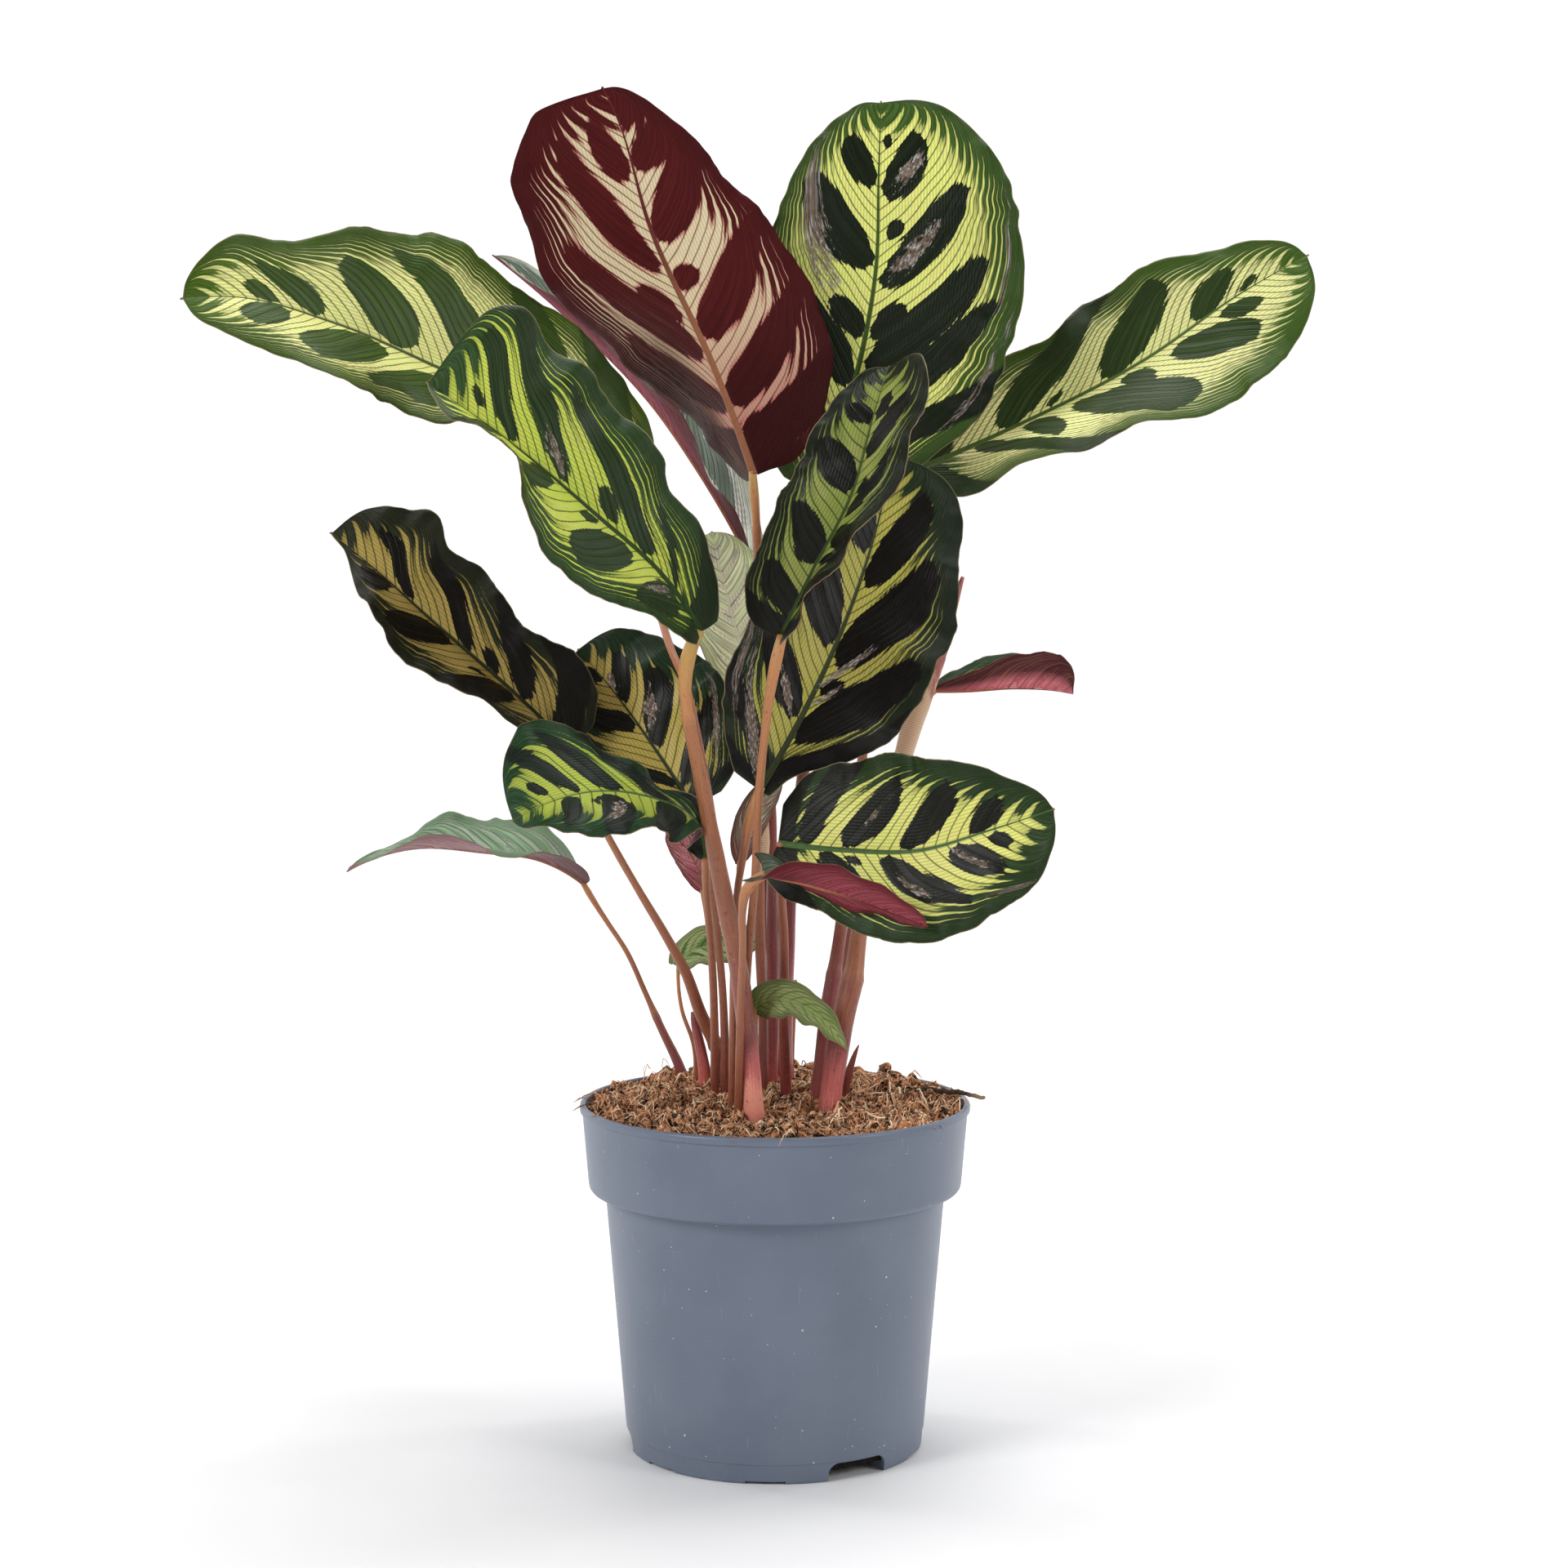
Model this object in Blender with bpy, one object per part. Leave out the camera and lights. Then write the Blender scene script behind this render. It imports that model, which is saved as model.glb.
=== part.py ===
"""Potted peacock plant: a leafy house plant in a plastic nursery pot, +Z up, in metres.

The origin is at the middle of the pot's base, on the surface that the pot stands on.
-Y is the front. Plant outlines are given in millimetres and scaled by MM.
"""
import math

import bmesh
import bpy
import numpy as np
from mathutils import Vector

MM = 0.001

# Driving dimensions of the pot
POT_HEIGHT = 0.116
RIM_RADIUS = 0.065
RIM_THICKNESS = 0.0020
LIP_HEIGHT = 0.003
LIP_OVERHANG = 0.0008
EDGE_ROUND = 0.0008
COLLAR_HEIGHT = 0.029
COLLAR_BOTTOM_RADIUS = 0.062
COLLAR_ROUND = 0.0015
BODY_TOP_RADIUS = 0.0567
BASE_RADIUS = 0.0491
WALL = 0.0012
LEDGE_SLOPE = 0.004
FLOOR_THICKNESS = 0.0015
FOOT_HEIGHT = 0.0015
FOOT_WIDTH = 0.007
POT_SEGMENTS = 60

# Drainage arches, cut through the wall and the foot at the corner of the base
ARCH_AZIMUTHS = (33.5, 153.5, 273.5)
ARCH_WIDTH = 0.022
ARCH_HEIGHT = 0.006
ARCH_DEPTH = 0.014
ARCH_CORNER = 0.0036
ARCH_CORNER_POINTS = 5

# Shallow recesses that leave three pairs of foot pads between the arches
RECESS_WIDTH = 0.013
RECESS_HEIGHT = 0.001
RECESS_OFFSETS = (-23.0, 23.0)
HALF_ARCH_SPACING = 60.0
CUT_MARGIN = 0.002

# Potting soil: level with the rim in front, a little higher towards the back
SOIL_GAP = 0.0003
SOIL_EDGE_HEIGHT = 0.1145
SOIL_EDGE_ROUND = 0.002
SOIL_BACK_RISE = 0.0045
SOIL_RIPPLE = 0.0007
SOIL_SEGMENTS = 36
SOIL_RINGS = 5
POCKET_GAP = 0.0003
POCKET_SIDES = 12
POCKET_REACH = 0.012

# Leaf blades and stems
BLADE_THICKNESS = 0.0005
MIDRIB_THICKNESS = 0.0016
MIDRIB_HALF_WIDTH = 0.0013
STEM_SIDES = 6
ROLLED_LEAF_SIDES = 8
STEM_STEP = 0.021
STEM_TAPER = 0.85
JOINT_GAP = 0.0002

# Colour and roughness of each kind of surface
PLASTIC = ((0.17, 0.19, 0.23), 0.42)
SOIL = ((0.06, 0.035, 0.02), 0.95)
STEM = ((0.20, 0.06, 0.04), 0.45)
ROOT = ((0.08, 0.05, 0.03), 0.90)
GREEN = ((0.16, 0.25, 0.05), 0.38)
OLIVE = ((0.13, 0.12, 0.04), 0.38)
BURGUNDY = ((0.14, 0.03, 0.03), 0.45)
SILVER = ((0.30, 0.33, 0.30), 0.40)
PALE = ((0.35, 0.42, 0.22), 0.45)
PINK = ((0.45, 0.25, 0.20), 0.50)


def leaf(spine, face, left, right, fold_left=(15,), fold_right=(15,), curl=(-10, -10),
         wave=(0.0, 0.0), wave_left=(3.0, 0.1), wave_right=(4.0, 0.4), ends=(0.5, 0.5),
         drip=0.03, lobe=(3.0, 3.0), grid=(15, 7), colour=GREEN):
    """One blade.

    spine: points along the midrib from base to tip, mm.
    face: directions that the upper side faces, from base to tip.
    left, right: half widths along the blade, mm; fold and curl: degrees up from flat.
    wave: height of the margin's ripple on each side, mm; wave_left: ripples and phase.
    ends: roundness of the base and the tip; drip: size of the pointed tip.
    lobe: how far the base lobes reach back past the stem, mm.
    grid: rows from base to tip and columns from side to side.
    """
    return dict(spine=np.array(spine, float) * MM, face=np.array(face, float),
                width=(left, right), fold=(fold_left, fold_right), curl=curl, wave=wave,
                ripple=(wave_left, wave_right), ends=ends, drip=drip, lobe=lobe, grid=grid,
                colour=colour)


LEAVES = {
    "leaf_top_left": leaf(
        spine=[(-7, 12, 324), (-20, 15, 359), (-41, 11, 405), (-52, 2, 441), (-56, -2, 449)],
        face=[(0, 1, 0)],
        left=(50, 46, 38, 31, 20), right=(40, 40, 42, 51, 72),
        fold_left=(5,), fold_right=(75, 60, 35, 5, 0), curl=(5, 0),
        wave=(1.5, 2.0), drip=0.02, ends=(0.5, 0.48), colour=BURGUNDY),
    "leaf_top_right": leaf(
        spine=[(14, 28, 318), (27, 35, 356), (34, 36, 393), (35, 40, 425), (36, 50, 451)],
        face=[(0, -1, 0.1)],
        left=(48, 36, 34, 34, 38), right=(36, 50, 50, 47, 50),
        fold_left=(8,), fold_right=(8,), curl=(5, 5),
        wave=(1.0, 2.0), ends=(0.5, 0.4), drip=0.01),
    "leaf_right_upper": leaf(
        spine=[(48, 42, 326), (81, 49, 340), (126, 54, 363), (161, 58, 387), (184, 60, 400)],
        face=[(0.1, -0.8, 0.55)],
        left=(22, 28, 28, 28, 26), right=(32, 34, 36, 38, 40),
        fold_left=(22,), fold_right=(5, 42, 32, 10, 5), wave=(2.0, 3.0)),
    "leaf_left_upper": leaf(
        spine=[(-45, 12, 324), (-77, 0, 343), (-109, -15, 358), (-139, -35, 371),
               (-168, -54, 378), (-183, -60, 377)],
        face=[(0.3, -0.78, 0.6)],
        left=(30, 30, 34, 32, 26), right=(48, 40, 42, 32, 36),
        fold_left=(30, 35, 25, 15, 5), fold_right=(25,), wave=(2.0, 3.0), ends=(0.5, 0.42)),
    "leaf_left_front": leaf(
        spine=[(-23, -52, 274), (-34, -60, 291), (-55, -70, 311), (-86, -76, 337),
               (-106, -73, 351)],
        face=[(0.35, -0.75, 0.5)],
        left=(24, 26, 30, 20, 18), right=(24, 24, 30, 46, 62),
        fold_left=(25, 25, 20, 50, 30), fold_right=(25,), wave=(2.0, 3.0), ends=(0.5, 0.5),
        drip=0.04),
    "leaf_left_middle": leaf(
        spine=[(-67, -8, 234), (-85, -16, 253), (-110, -21, 276), (-130, -20, 294),
               (-144, -16, 305)],
        face=[(0.3, -0.8, 0.45)],
        left=(20, 22, 24, 22, 8), right=(36, 25, 25, 28, 42),
        fold_left=(50, 45, 32, 28, 25), fold_right=(22,), wave=(2.0, 3.0), drip=0.04,
        colour=OLIVE),
    "leaf_left_inner": leaf(
        spine=[(-27, -8, 215), (-40, 2, 234), (-57, 11, 256), (-66, 15, 266)],
        face=[(0, -1, 0.2)],
        left=(26,), right=(38, 31, 32, 28, 32), wave=(2.0, 2.0), drip=0.02),
    "leaf_left_lower": leaf(
        spine=[(-22, -30, 200), (-26, -35, 214), (-38, -44, 221), (-58, -54, 224),
               (-82, -58, 215)],
        face=[(0, -0.6, 0.8)],
        left=(10, 16, 26, 26, 20), right=(10, 8, 14, 36, 40),
        wave=(3.0, 2.0), wave_left=(3.0, 0.6), drip=0.02, lobe=(1, 1)),
    "leaf_centre_front": leaf(
        spine=[(2, -50, 272), (12, -57, 293), (24, -63, 317), (31, -57, 342), (36, -47, 357)],
        face=[(-0.5, -0.8, 0.1)],
        left=(32, 22, 21, 19, 20), right=(12, 14, 18, 24, 34),
        fold_left=(20,), fold_right=(55, 50, 35, 20, 20), wave=(1.5, 2.0), ends=(0.45, 0.45)),
    "leaf_centre": leaf(
        spine=[(-5, -36, 223), (7, -27, 243), (22, -15, 274), (32, -4, 302), (39, 6, 331)],
        face=[(0.2, -1, 0.1)],
        left=(38, 34, 30, 30, 34), right=(14, 28, 32, 36, 48), wave=(2.0, 2.0), drip=0.02,
        colour=OLIVE),
    "leaf_right_lower": leaf(
        spine=[(1, -45, 207), (21, -56, 206), (45, -67, 207), (66, -75, 214), (86, -78, 221)],
        face=[(0, -0.95, 0.3)],
        left=(38, 32, 30, 24, 22), right=(34, 28, 30, 31, 32),
        fold_left=(10,), fold_right=(10,), curl=(-5, -5), wave=(2.0, 2.0), ends=(0.45, 0.5)),
    "leaf_folded_front": leaf(
        spine=[(-4, -62, 199), (3, -66, 198), (13, -71, 196), (28, -77, 192), (47, -82, 185)],
        face=[(-0.2, -0.6, 0.8), (0, 0.8, 0.6), (0, 0.8, 0.6), (0, 0.8, 0.6)],
        left=(6, 6, 7, 6, 5), right=(12, 9, 9, 9, 8),
        fold_left=(20,), fold_right=(20,), lobe=(2, 14), drip=0.06, grid=(12, 5),
        colour=BURGUNDY),
    "leaf_left_trailing": leaf(
        spine=[(-66, 50, 183), (-81, 45, 192), (-100, 42, 195), (-125, 44, 196),
               (-149, 51, 187)],
        face=[(0, -0.2, 1)],
        left=(14, 16, 14, 12, 10), right=(20, 24, 22, 16, 10),
        fold_left=(30,), fold_right=(20,), wave=(3.0, 2.0), wave_left=(2.0, 0.1),
        wave_right=(2.5, 0.75), ends=(0.5, 0.7), drip=0.06, lobe=(1, 1), grid=(14, 5),
        colour=SILVER),
    "leaf_right_small": leaf(
        spine=[(54, 50, 250), (65, 50, 250), (84, 50, 251), (98, 50, 250), (103, 50, 249)],
        face=[(0, 0, 1)],
        left=(11, 13, 15, 15, 14), right=(7, 9, 13, 18, 24),
        fold_left=(55,), fold_right=(60,), ends=(0.5, 0.45), grid=(10, 5), lobe=(0, 0),
        colour=BURGUNDY),
    "leaf_back_upper": leaf(
        spine=[(-9, 60, 296), (-28, 74, 328), (-43, 80, 349), (-68, 84, 375),
               (-100, 86, 402)],
        face=[(0.7, -0.3, 0.6)],
        left=(10, 12, 12, 10, 8), right=(20, 20, 20, 18, 14),
        fold_left=(45,), fold_right=(35,), wave=(2.0, 3.0), ends=(0.5, 0.6), drip=0.05,
        grid=(13, 5), colour=SILVER),
    "leaf_back_inner": leaf(
        spine=[(-5, 42, 247), (-12, 45, 266), (-18, 49, 288), (-22, 51, 305)],
        face=[(0, -0.6, 0.8)],
        left=(16,), right=(17,), wave=(1.5, 1.5), grid=(10, 5), colour=SILVER),
    "leaf_young_front": leaf(
        spine=[(-7, -22, 150), (-1, -26, 154), (10, -30, 152), (17, -33, 147), (23, -35, 139)],
        face=[(0, -1, 0.2), (0, -0.8, 0.6), (0.2, -0.6, 0.8)],
        left=(5, 5, 4, 5, 4), right=(7, 5, 5, 5, 4), ends=(0.5, 0.6), drip=0.06,
        grid=(9, 5), lobe=(0, 0), colour=PALE),
    "leaf_young_back": leaf(
        spine=[(-34, 30, 157), (-28, 31, 162), (-17, 33, 164), (-4, 35, 167)],
        face=[(0, -0.7, 0.6)],
        left=(8,), right=(8,), wave=(1.0, 1.0), grid=(9, 5), lobe=(2, 2), colour=PALE),
    "leaf_pink_small": leaf(
        spine=[(-24, 6, 185), (-26, 4, 194), (-30, 2, 201), (-36, 0, 206)],
        face=[(0, 1, 0.1)],
        left=(6,), right=(6,), grid=(8, 5), lobe=(0, 0), colour=PINK),
    "leaf_pale_inner": leaf(
        spine=[(-12, 2, 195), (-10, 2, 205), (-5, 2, 216), (2, 1, 224)],
        face=[(0, 1, 0)],
        left=(6,), right=(5,), grid=(8, 5), lobe=(0, 0), colour=PALE),
}

# Young leaves still rolled up: path from base to tip, mm, and radius along it, mm
ROLLED_LEAVES = {
    "leaf_rolled_tall": dict(path=[(42, 12, 227), (48, 15, 248), (55, 18, 267), (63, 20, 290)],
                             radius=(3.1, 4.0, 3.4, 0.6)),
    "leaf_rolled_short": dict(path=[(-5, 13, 190), (-5, 12, 201), (-5, 11, 215), (-3, 10, 231)],
                              radius=(2.4, 3.2, 2.6, 0.8)),
}

# Leaf stems: path from the soil to the blade, mm, and radius along it, mm
STEMS = {
    "top_left": dict(path=[(-2, 22, 112), (-1, 22, 139), (-1, 22, 167), (-1, 20, 187),
                           (-1, 18, 209), (-3, 16, 237), (-5, 14, 265), (-6, 12, 305)],
                     radius=(2.6, 2.4, 2.0, 1.7, 1.5, 1.4, 1.4, 1.5)),
    "top_right": dict(path=[(3, 31, 112), (3, 31, 138), (4, 30, 166), (5, 30, 186),
                            (8, 30, 208), (10, 29, 228), (12, 28, 258), (14, 28, 292)],
                      radius=(3.2, 3.1, 2.9, 2.6, 2.3, 2.0, 1.7, 1.6)),
    "right_upper": dict(path=[(13, 0, 111), (16, 3, 131), (18, 6, 147), (20, 9, 158),
                              (22, 12, 171), (25, 19, 195), (30, 28, 231), (36, 34, 269),
                              (43, 39, 305)],
                        radius=(2.3, 2.6, 2.7, 2.6, 2.4, 2.1, 1.8, 1.6, 1.5)),
    "left_upper": dict(path=[(-5, -21, 110), (-9, -26, 152), (-15, -33, 188), (-19, -38, 209),
                             (-22, -43, 228), (-25, -44, 244), (-28, -43, 257),
                             (-33, -34, 268), (-37, -20, 279), (-43, 0, 303)],
                       radius=(1.7, 1.6, 1.5, 1.4, 1.4, 1.3, 1.3, 1.3, 1.3, 1.4)),
    "left_front": dict(path=[(-6, -29, 109), (-8, -31, 134), (-11, -34, 162), (-16, -39, 189),
                             (-20, -43, 210), (-24, -47, 231), (-27, -50, 247),
                             (-28, -51, 257), (-27, -52, 266)],
                       radius=(3.4, 3.2, 3.0, 2.9, 2.5, 2.2, 1.9, 2.1, 2.2)),
    "left_middle": dict(path=[(-14, 20, 112), (-18, 18, 127), (-25, 14, 143), (-30, 9, 158),
                              (-36, 5, 170), (-46, 0, 188), (-56, -5, 207), (-62, -8, 220)],
                        radius=(2.9, 2.7, 2.4, 2.0, 1.7, 1.4, 1.3, 1.3)),
    "left_inner": dict(path=[(-17, 10, 112), (-17, 8, 141), (-19, 4, 170), (-21, 0, 187),
                             (-23, -4, 201)],
                       radius=(1.5, 1.4, 1.3, 1.2, 1.2)),
    "left_lower": dict(path=[(-20, 4, 112), (-20, -4, 143), (-21, -14, 172), (-22, -22, 187)],
                       radius=(1.6, 1.4, 1.3, 1.2)),
    "centre_front": dict(path=[(-10, -19, 110), (-10, -20, 147), (-8, -30, 175),
                               (-6, -42, 197), (-5, -48, 221), (-3, -51, 242),
                               (-1, -52, 257)],
                         radius=(1.6, 1.5, 1.4, 1.4, 1.4, 1.4, 1.7)),
    "centre": dict(path=[(-14, -15, 110), (-13.5, -22, 146), (-13, -27, 174), (-12, -30, 190),
                         (-10, -34, 202), (-8, -37, 213)],
                   radius=(1.6, 1.4, 1.2, 1.2, 1.3, 1.6)),
    "right_lower": dict(path=[(4, 6, 112), (3, -4, 143), (3, -18, 173), (2, -33, 193)],
                        radius=(2.0, 1.8, 1.6, 1.4)),
    "folded_front": dict(path=[(-12, -27, 110), (-11, -40, 149), (-10, -52, 177),
                               (-10, -56, 187), (-9, -58, 193)],
                         radius=(1.4, 1.3, 1.2, 1.3, 1.5), joint=0.6),
    "left_trailing": dict(path=[(-30, 40, 112), (-34, 42, 122), (-39, 44, 132),
                                (-45, 46, 145), (-52, 48, 160), (-58, 49, 169),
                                (-62, 50, 175)],
                          radius=(1.9, 1.7, 1.4, 1.1, 1.0, 1.0, 1.1)),
    "right_small": dict(path=[(16, 11, 112), (20, 16, 140), (25, 24, 167), (32, 32, 194),
                              (40, 39, 221), (48, 46, 243)],
                        radius=(1.5, 1.5, 1.3, 1.2, 1.1, 1.1)),
    "back_upper": dict(path=[(-4, 39, 114), (-4, 44, 164), (-4, 50, 206), (-6, 56, 248),
                             (-8, 59, 280)],
                       radius=(1.6, 1.5, 1.4, 1.3, 1.4)),
    "back_inner": dict(path=[(2, 45, 114), (1, 45, 165), (-2, 43, 207)],
                       radius=(1.2, 1.1, 1.0)),
    "young_front": dict(path=[(-4, -13, 112), (-6, -17, 135)], radius=(0.9, 0.8)),
    "young_back": dict(path=[(-27, 30, 112), (-28, 30, 130), (-32, 30, 142)],
                       radius=(0.9, 0.8, 0.7)),
    "pink_small": dict(path=[(-21, 10, 112), (-21, 9, 141), (-22, 7, 169)],
                       radius=(0.9, 0.8, 0.8)),
    "pale_inner": dict(path=[(-10, -6, 112), (-11, -4, 143), (-12, -1, 170)],
                       radius=(1.1, 1.0, 0.9)),
    "rolled_tall": dict(path=[(17, -17, 110), (20, -14, 131), (23, -11, 147), (26, -8, 159),
                              (28, -4, 173), (34, 4, 197)],
                        radius=(3.4, 3.7, 3.7, 3.6, 3.1, 3.0)),
    "rolled_short": dict(path=[(-4, 8, 112), (-4, 10, 141), (-5, 12, 168)],
                         radius=(1.8, 1.7, 1.8)),
}

# Side shoots that carry no leaf yet: path and radius as above
SHOOTS = {
    "shoot_left": dict(path=[(-24, 18, 112), (-24, 18, 123), (-26, 18, 134), (-28, 18, 143)],
                       radius=(2.2, 2.2, 1.8, 1.2)),
    "shoot_centre": dict(path=[(5, 38, 114), (6, 38, 137), (7, 38, 151)],
                         radius=(1.3, 1.2, 1.1)),
    "shoot_right": dict(path=[(24, 5, 112), (24, 5, 120), (25, 5, 125), (28, 4, 134)],
                        radius=(1.0, 1.2, 1.4, 0.5)),
}

# A dry root that sticks out over the rim
ROOT_TWIG = dict(path=[(38, 6, 114), (50, 3, 119), (60, -2, 119), (70, -5, 118)],
                 radius=(1.0, 0.9, 0.8, 0.6))


def clear_scene():
    """Start from an empty scene."""
    for obj in list(bpy.data.objects):
        bpy.data.objects.remove(obj, do_unlink=True)


def material(name, surface):
    """A plain non-metal surface of one colour and roughness."""
    colour, roughness = surface
    mat = bpy.data.materials.new(name)
    mat.use_nodes = True
    shader = mat.node_tree.nodes["Principled BSDF"]
    shader.inputs["Base Color"].default_value = (*colour, 1.0)
    shader.inputs["Roughness"].default_value = roughness
    shader.inputs["Metallic"].default_value = 0.0
    return mat


def add_mesh(name, vertices, faces, surface, origin=(0.0, 0.0, 0.0)):
    """A named object from vertices and faces, shaded smooth, with its origin at a point."""
    mesh = bpy.data.meshes.new(name)
    mesh.from_pydata([tuple(v) for v in np.asarray(vertices) - np.asarray(origin)], [], faces)
    mesh.materials.append(material(name, surface))
    mesh.validate()
    mesh.shade_smooth()
    mesh.set_sharp_from_angle(angle=math.radians(40))
    obj = bpy.data.objects.new(name, mesh)
    obj.location = Vector(origin)
    bpy.context.collection.objects.link(obj)
    return obj


def along(values, t):
    """Smooth curve through evenly spaced values (or rows), read at t from 0 to 1."""
    rows = np.atleast_1d(np.asarray(values, float))
    last = len(rows) - 1
    if last == 0:
        return np.repeat(rows, len(t), axis=0)
    place = np.clip(t, 0, 1) * last
    i = np.minimum(place.astype(int), last - 1)
    f = place - i
    if rows.ndim == 2:
        f = f[:, None]
    padded = np.concatenate([[2 * rows[0] - rows[1]], rows, [2 * rows[-1] - rows[-2]]])
    a, b, c, d = padded[i], padded[i + 1], padded[i + 2], padded[i + 3]
    return 0.5 * (2 * b + (c - a) * f + (2 * a - 5 * b + 4 * c - d) * f ** 2
                  + (3 * b - a - 3 * c + d) * f ** 3)


def smooth_path(points, count=400):
    """Fine points on a smooth curve through the points, and the length up to each."""
    points = np.asarray(points, float)
    chord = np.linalg.norm(np.diff(points, axis=0), axis=1)
    knots = np.concatenate([[0], np.cumsum(chord)])
    slope = np.zeros_like(points)
    rise = np.diff(points, axis=0) / chord[:, None]
    if len(points) > 2:
        before, after = chord[:-1, None], chord[1:, None]
        slope[1:-1] = (rise[:-1] * after + rise[1:] * before) / (before + after)
        slope[0] = 2 * rise[0] - slope[1]
        slope[-1] = 2 * rise[-1] - slope[-2]
    else:
        slope[:] = rise[0]
    u = np.linspace(0, knots[-1], count)
    k = np.clip(np.searchsorted(knots, u, side="right") - 1, 0, len(points) - 2)
    h = chord[k][:, None]
    s = (u - knots[k])[:, None] / h
    fine = ((2 * s ** 3 - 3 * s ** 2 + 1) * points[k] + (s ** 3 - 2 * s ** 2 + s) * h * slope[k]
            + (3 * s ** 2 - 2 * s ** 3) * points[k + 1] + (s ** 3 - s ** 2) * h * slope[k + 1])
    steps = np.linalg.norm(np.diff(fine, axis=0), axis=1)
    return fine, np.concatenate([[0], np.cumsum(steps)])


def path_points(points, t):
    """Points at fractions t of the length of the smooth curve through the points."""
    fine, length = smooth_path(points)
    return np.stack([np.interp(t * length[-1], length, fine[:, axis]) for axis in range(3)], -1)


def unit(vectors):
    """Rows scaled to length one."""
    return vectors / np.linalg.norm(vectors, axis=-1, keepdims=True)


def blade_outline(t, base_roundness, tip_roundness, drip):
    """Half width of a blade as a fraction of its widest, with a small pointed tip."""
    inner = np.clip(t / 0.965, 0, 1)
    peak = base_roundness / (base_roundness + tip_roundness)
    widest = peak ** base_roundness * (1 - peak) ** tip_roundness
    body = inner ** base_roundness * (1 - inner) ** tip_roundness / widest
    point = drip * np.clip((1 - t) / 0.08, 0, 1)
    return np.sqrt(body ** 2 + point ** 2)


def blade_points(spec, t, v):
    """Points of a blade's middle surface: t runs from base to tip, v from -1 left to 1 right."""
    step = 1e-3
    centre = path_points(spec["spine"], t)
    ahead = path_points(spec["spine"], np.clip(t + step, 0, 1))
    behind = path_points(spec["spine"], np.clip(t - step, 0, 1))
    tangent = unit(ahead - behind)
    face = along(spec["face"], t)
    normal = unit(face - (face * tangent).sum(-1, keepdims=True) * tangent)
    across = np.cross(tangent, normal)
    is_left = v < 0
    side = np.where(is_left, -1.0, 1.0)
    reach = np.abs(v)

    def both(pair):
        return np.where(is_left, along(pair[0], t), along(pair[1], t))

    width = both(spec["width"]) * MM * blade_outline(t, *spec["ends"], spec["drip"])
    width = np.maximum(width, MIDRIB_HALF_WIDTH * np.clip(1.2 - t, 0.25, 1))
    fold = np.radians(both(spec["fold"]))
    curl = np.radians(np.where(is_left, spec["curl"][0], spec["curl"][1]))
    curl = np.where(np.abs(curl) < 1e-4, 1e-4, curl)
    tilt = fold + curl * reach
    sideways = (np.sin(tilt) - np.sin(fold)) / curl * width * side
    upwards = (np.cos(fold) - np.cos(tilt)) / curl * width
    ripples = np.where(is_left, spec["ripple"][0][0], spec["ripple"][1][0])
    phase = np.where(is_left, spec["ripple"][0][1], spec["ripple"][1][1])
    height = np.where(is_left, spec["wave"][0], spec["wave"][1]) * MM * reach ** 2
    height = height * np.sin(2 * np.pi * (ripples * t + phase)) * np.sqrt(np.sin(np.pi * t))
    sideways = sideways - height * np.sin(tilt) * side
    upwards = upwards + height * np.cos(tilt)
    lobe = np.where(is_left, spec["lobe"][0], spec["lobe"][1]) * MM
    back = lobe * reach ** 1.5 * np.clip(1 - t / 0.3, 0, 1) ** 2 * np.clip(t / 0.02, 0, 1)
    return (centre + sideways[:, None] * across + upwards[:, None] * normal
            - back[:, None] * tangent)


def make_blade(name, spec):
    """A thin closed blade, thicker along the midrib on its lower side.

    Both surfaces are split into triangles along the same diagonals, so they stay apart where
    the blade twists.
    """
    rows, columns = spec["grid"]
    t_row = 0.5 - 0.5 * np.cos(np.pi * np.linspace(0, 1, rows))
    v_row = np.linspace(-1, 1, columns)
    t, v = np.meshgrid(t_row, v_row, indexing="ij")
    middle = blade_points(spec, t.ravel(), v.ravel()).reshape(rows, columns, 3)
    along_t = np.gradient(middle, axis=0)
    along_v = np.gradient(middle, axis=1)
    normal = unit(np.cross(along_v, along_t))
    half = BLADE_THICKNESS / 2
    rib = np.where(np.abs(v) < 1e-6, MIDRIB_THICKNESS * (1 - 0.8 * t), 0.0)
    upper = middle + normal * half
    lower = middle - normal * (half + rib)[..., None]
    vertices = np.concatenate([upper.reshape(-1, 3), lower.reshape(-1, 3)])
    count = rows * columns

    def index(i, j, bottom=False):
        return i * columns + j + (count if bottom else 0)

    faces = []
    for i in range(rows - 1):
        for j in range(columns - 1):
            here, right, opposite, ahead = (i, j), (i, j + 1), (i + 1, j + 1), (i + 1, j)
            for corners in ((here, right, opposite), (here, opposite, ahead)):
                faces.append([index(*c) for c in corners])
                faces.append([index(*c, bottom=True) for c in reversed(corners)])
    border = [(0, j) for j in range(columns - 1)]
    border += [(i, columns - 1) for i in range(rows - 1)]
    border += [(rows - 1, j) for j in range(columns - 1, 0, -1)]
    border += [(i, 0) for i in range(rows - 1, 0, -1)]
    for here, there in zip(border, border[1:] + border[:1]):
        faces.append([index(*there), index(*here), index(*here, bottom=True),
                      index(*there, bottom=True)])
    return add_mesh(name, vertices, faces, spec["colour"], spec["spine"][0])


def ring_frames(points):
    """Two directions across a path at each point, turning as little as possible."""
    tangents = unit(np.gradient(points, axis=0))
    first = np.cross(tangents[0], (0.0, 1.0, 0.0))
    sides = [first / np.linalg.norm(first)]
    for tangent in tangents[1:]:
        side = sides[-1] - tangent * np.dot(sides[-1], tangent)
        sides.append(side / np.linalg.norm(side))
    sides = np.array(sides)
    return sides, np.cross(tangents, sides)


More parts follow.
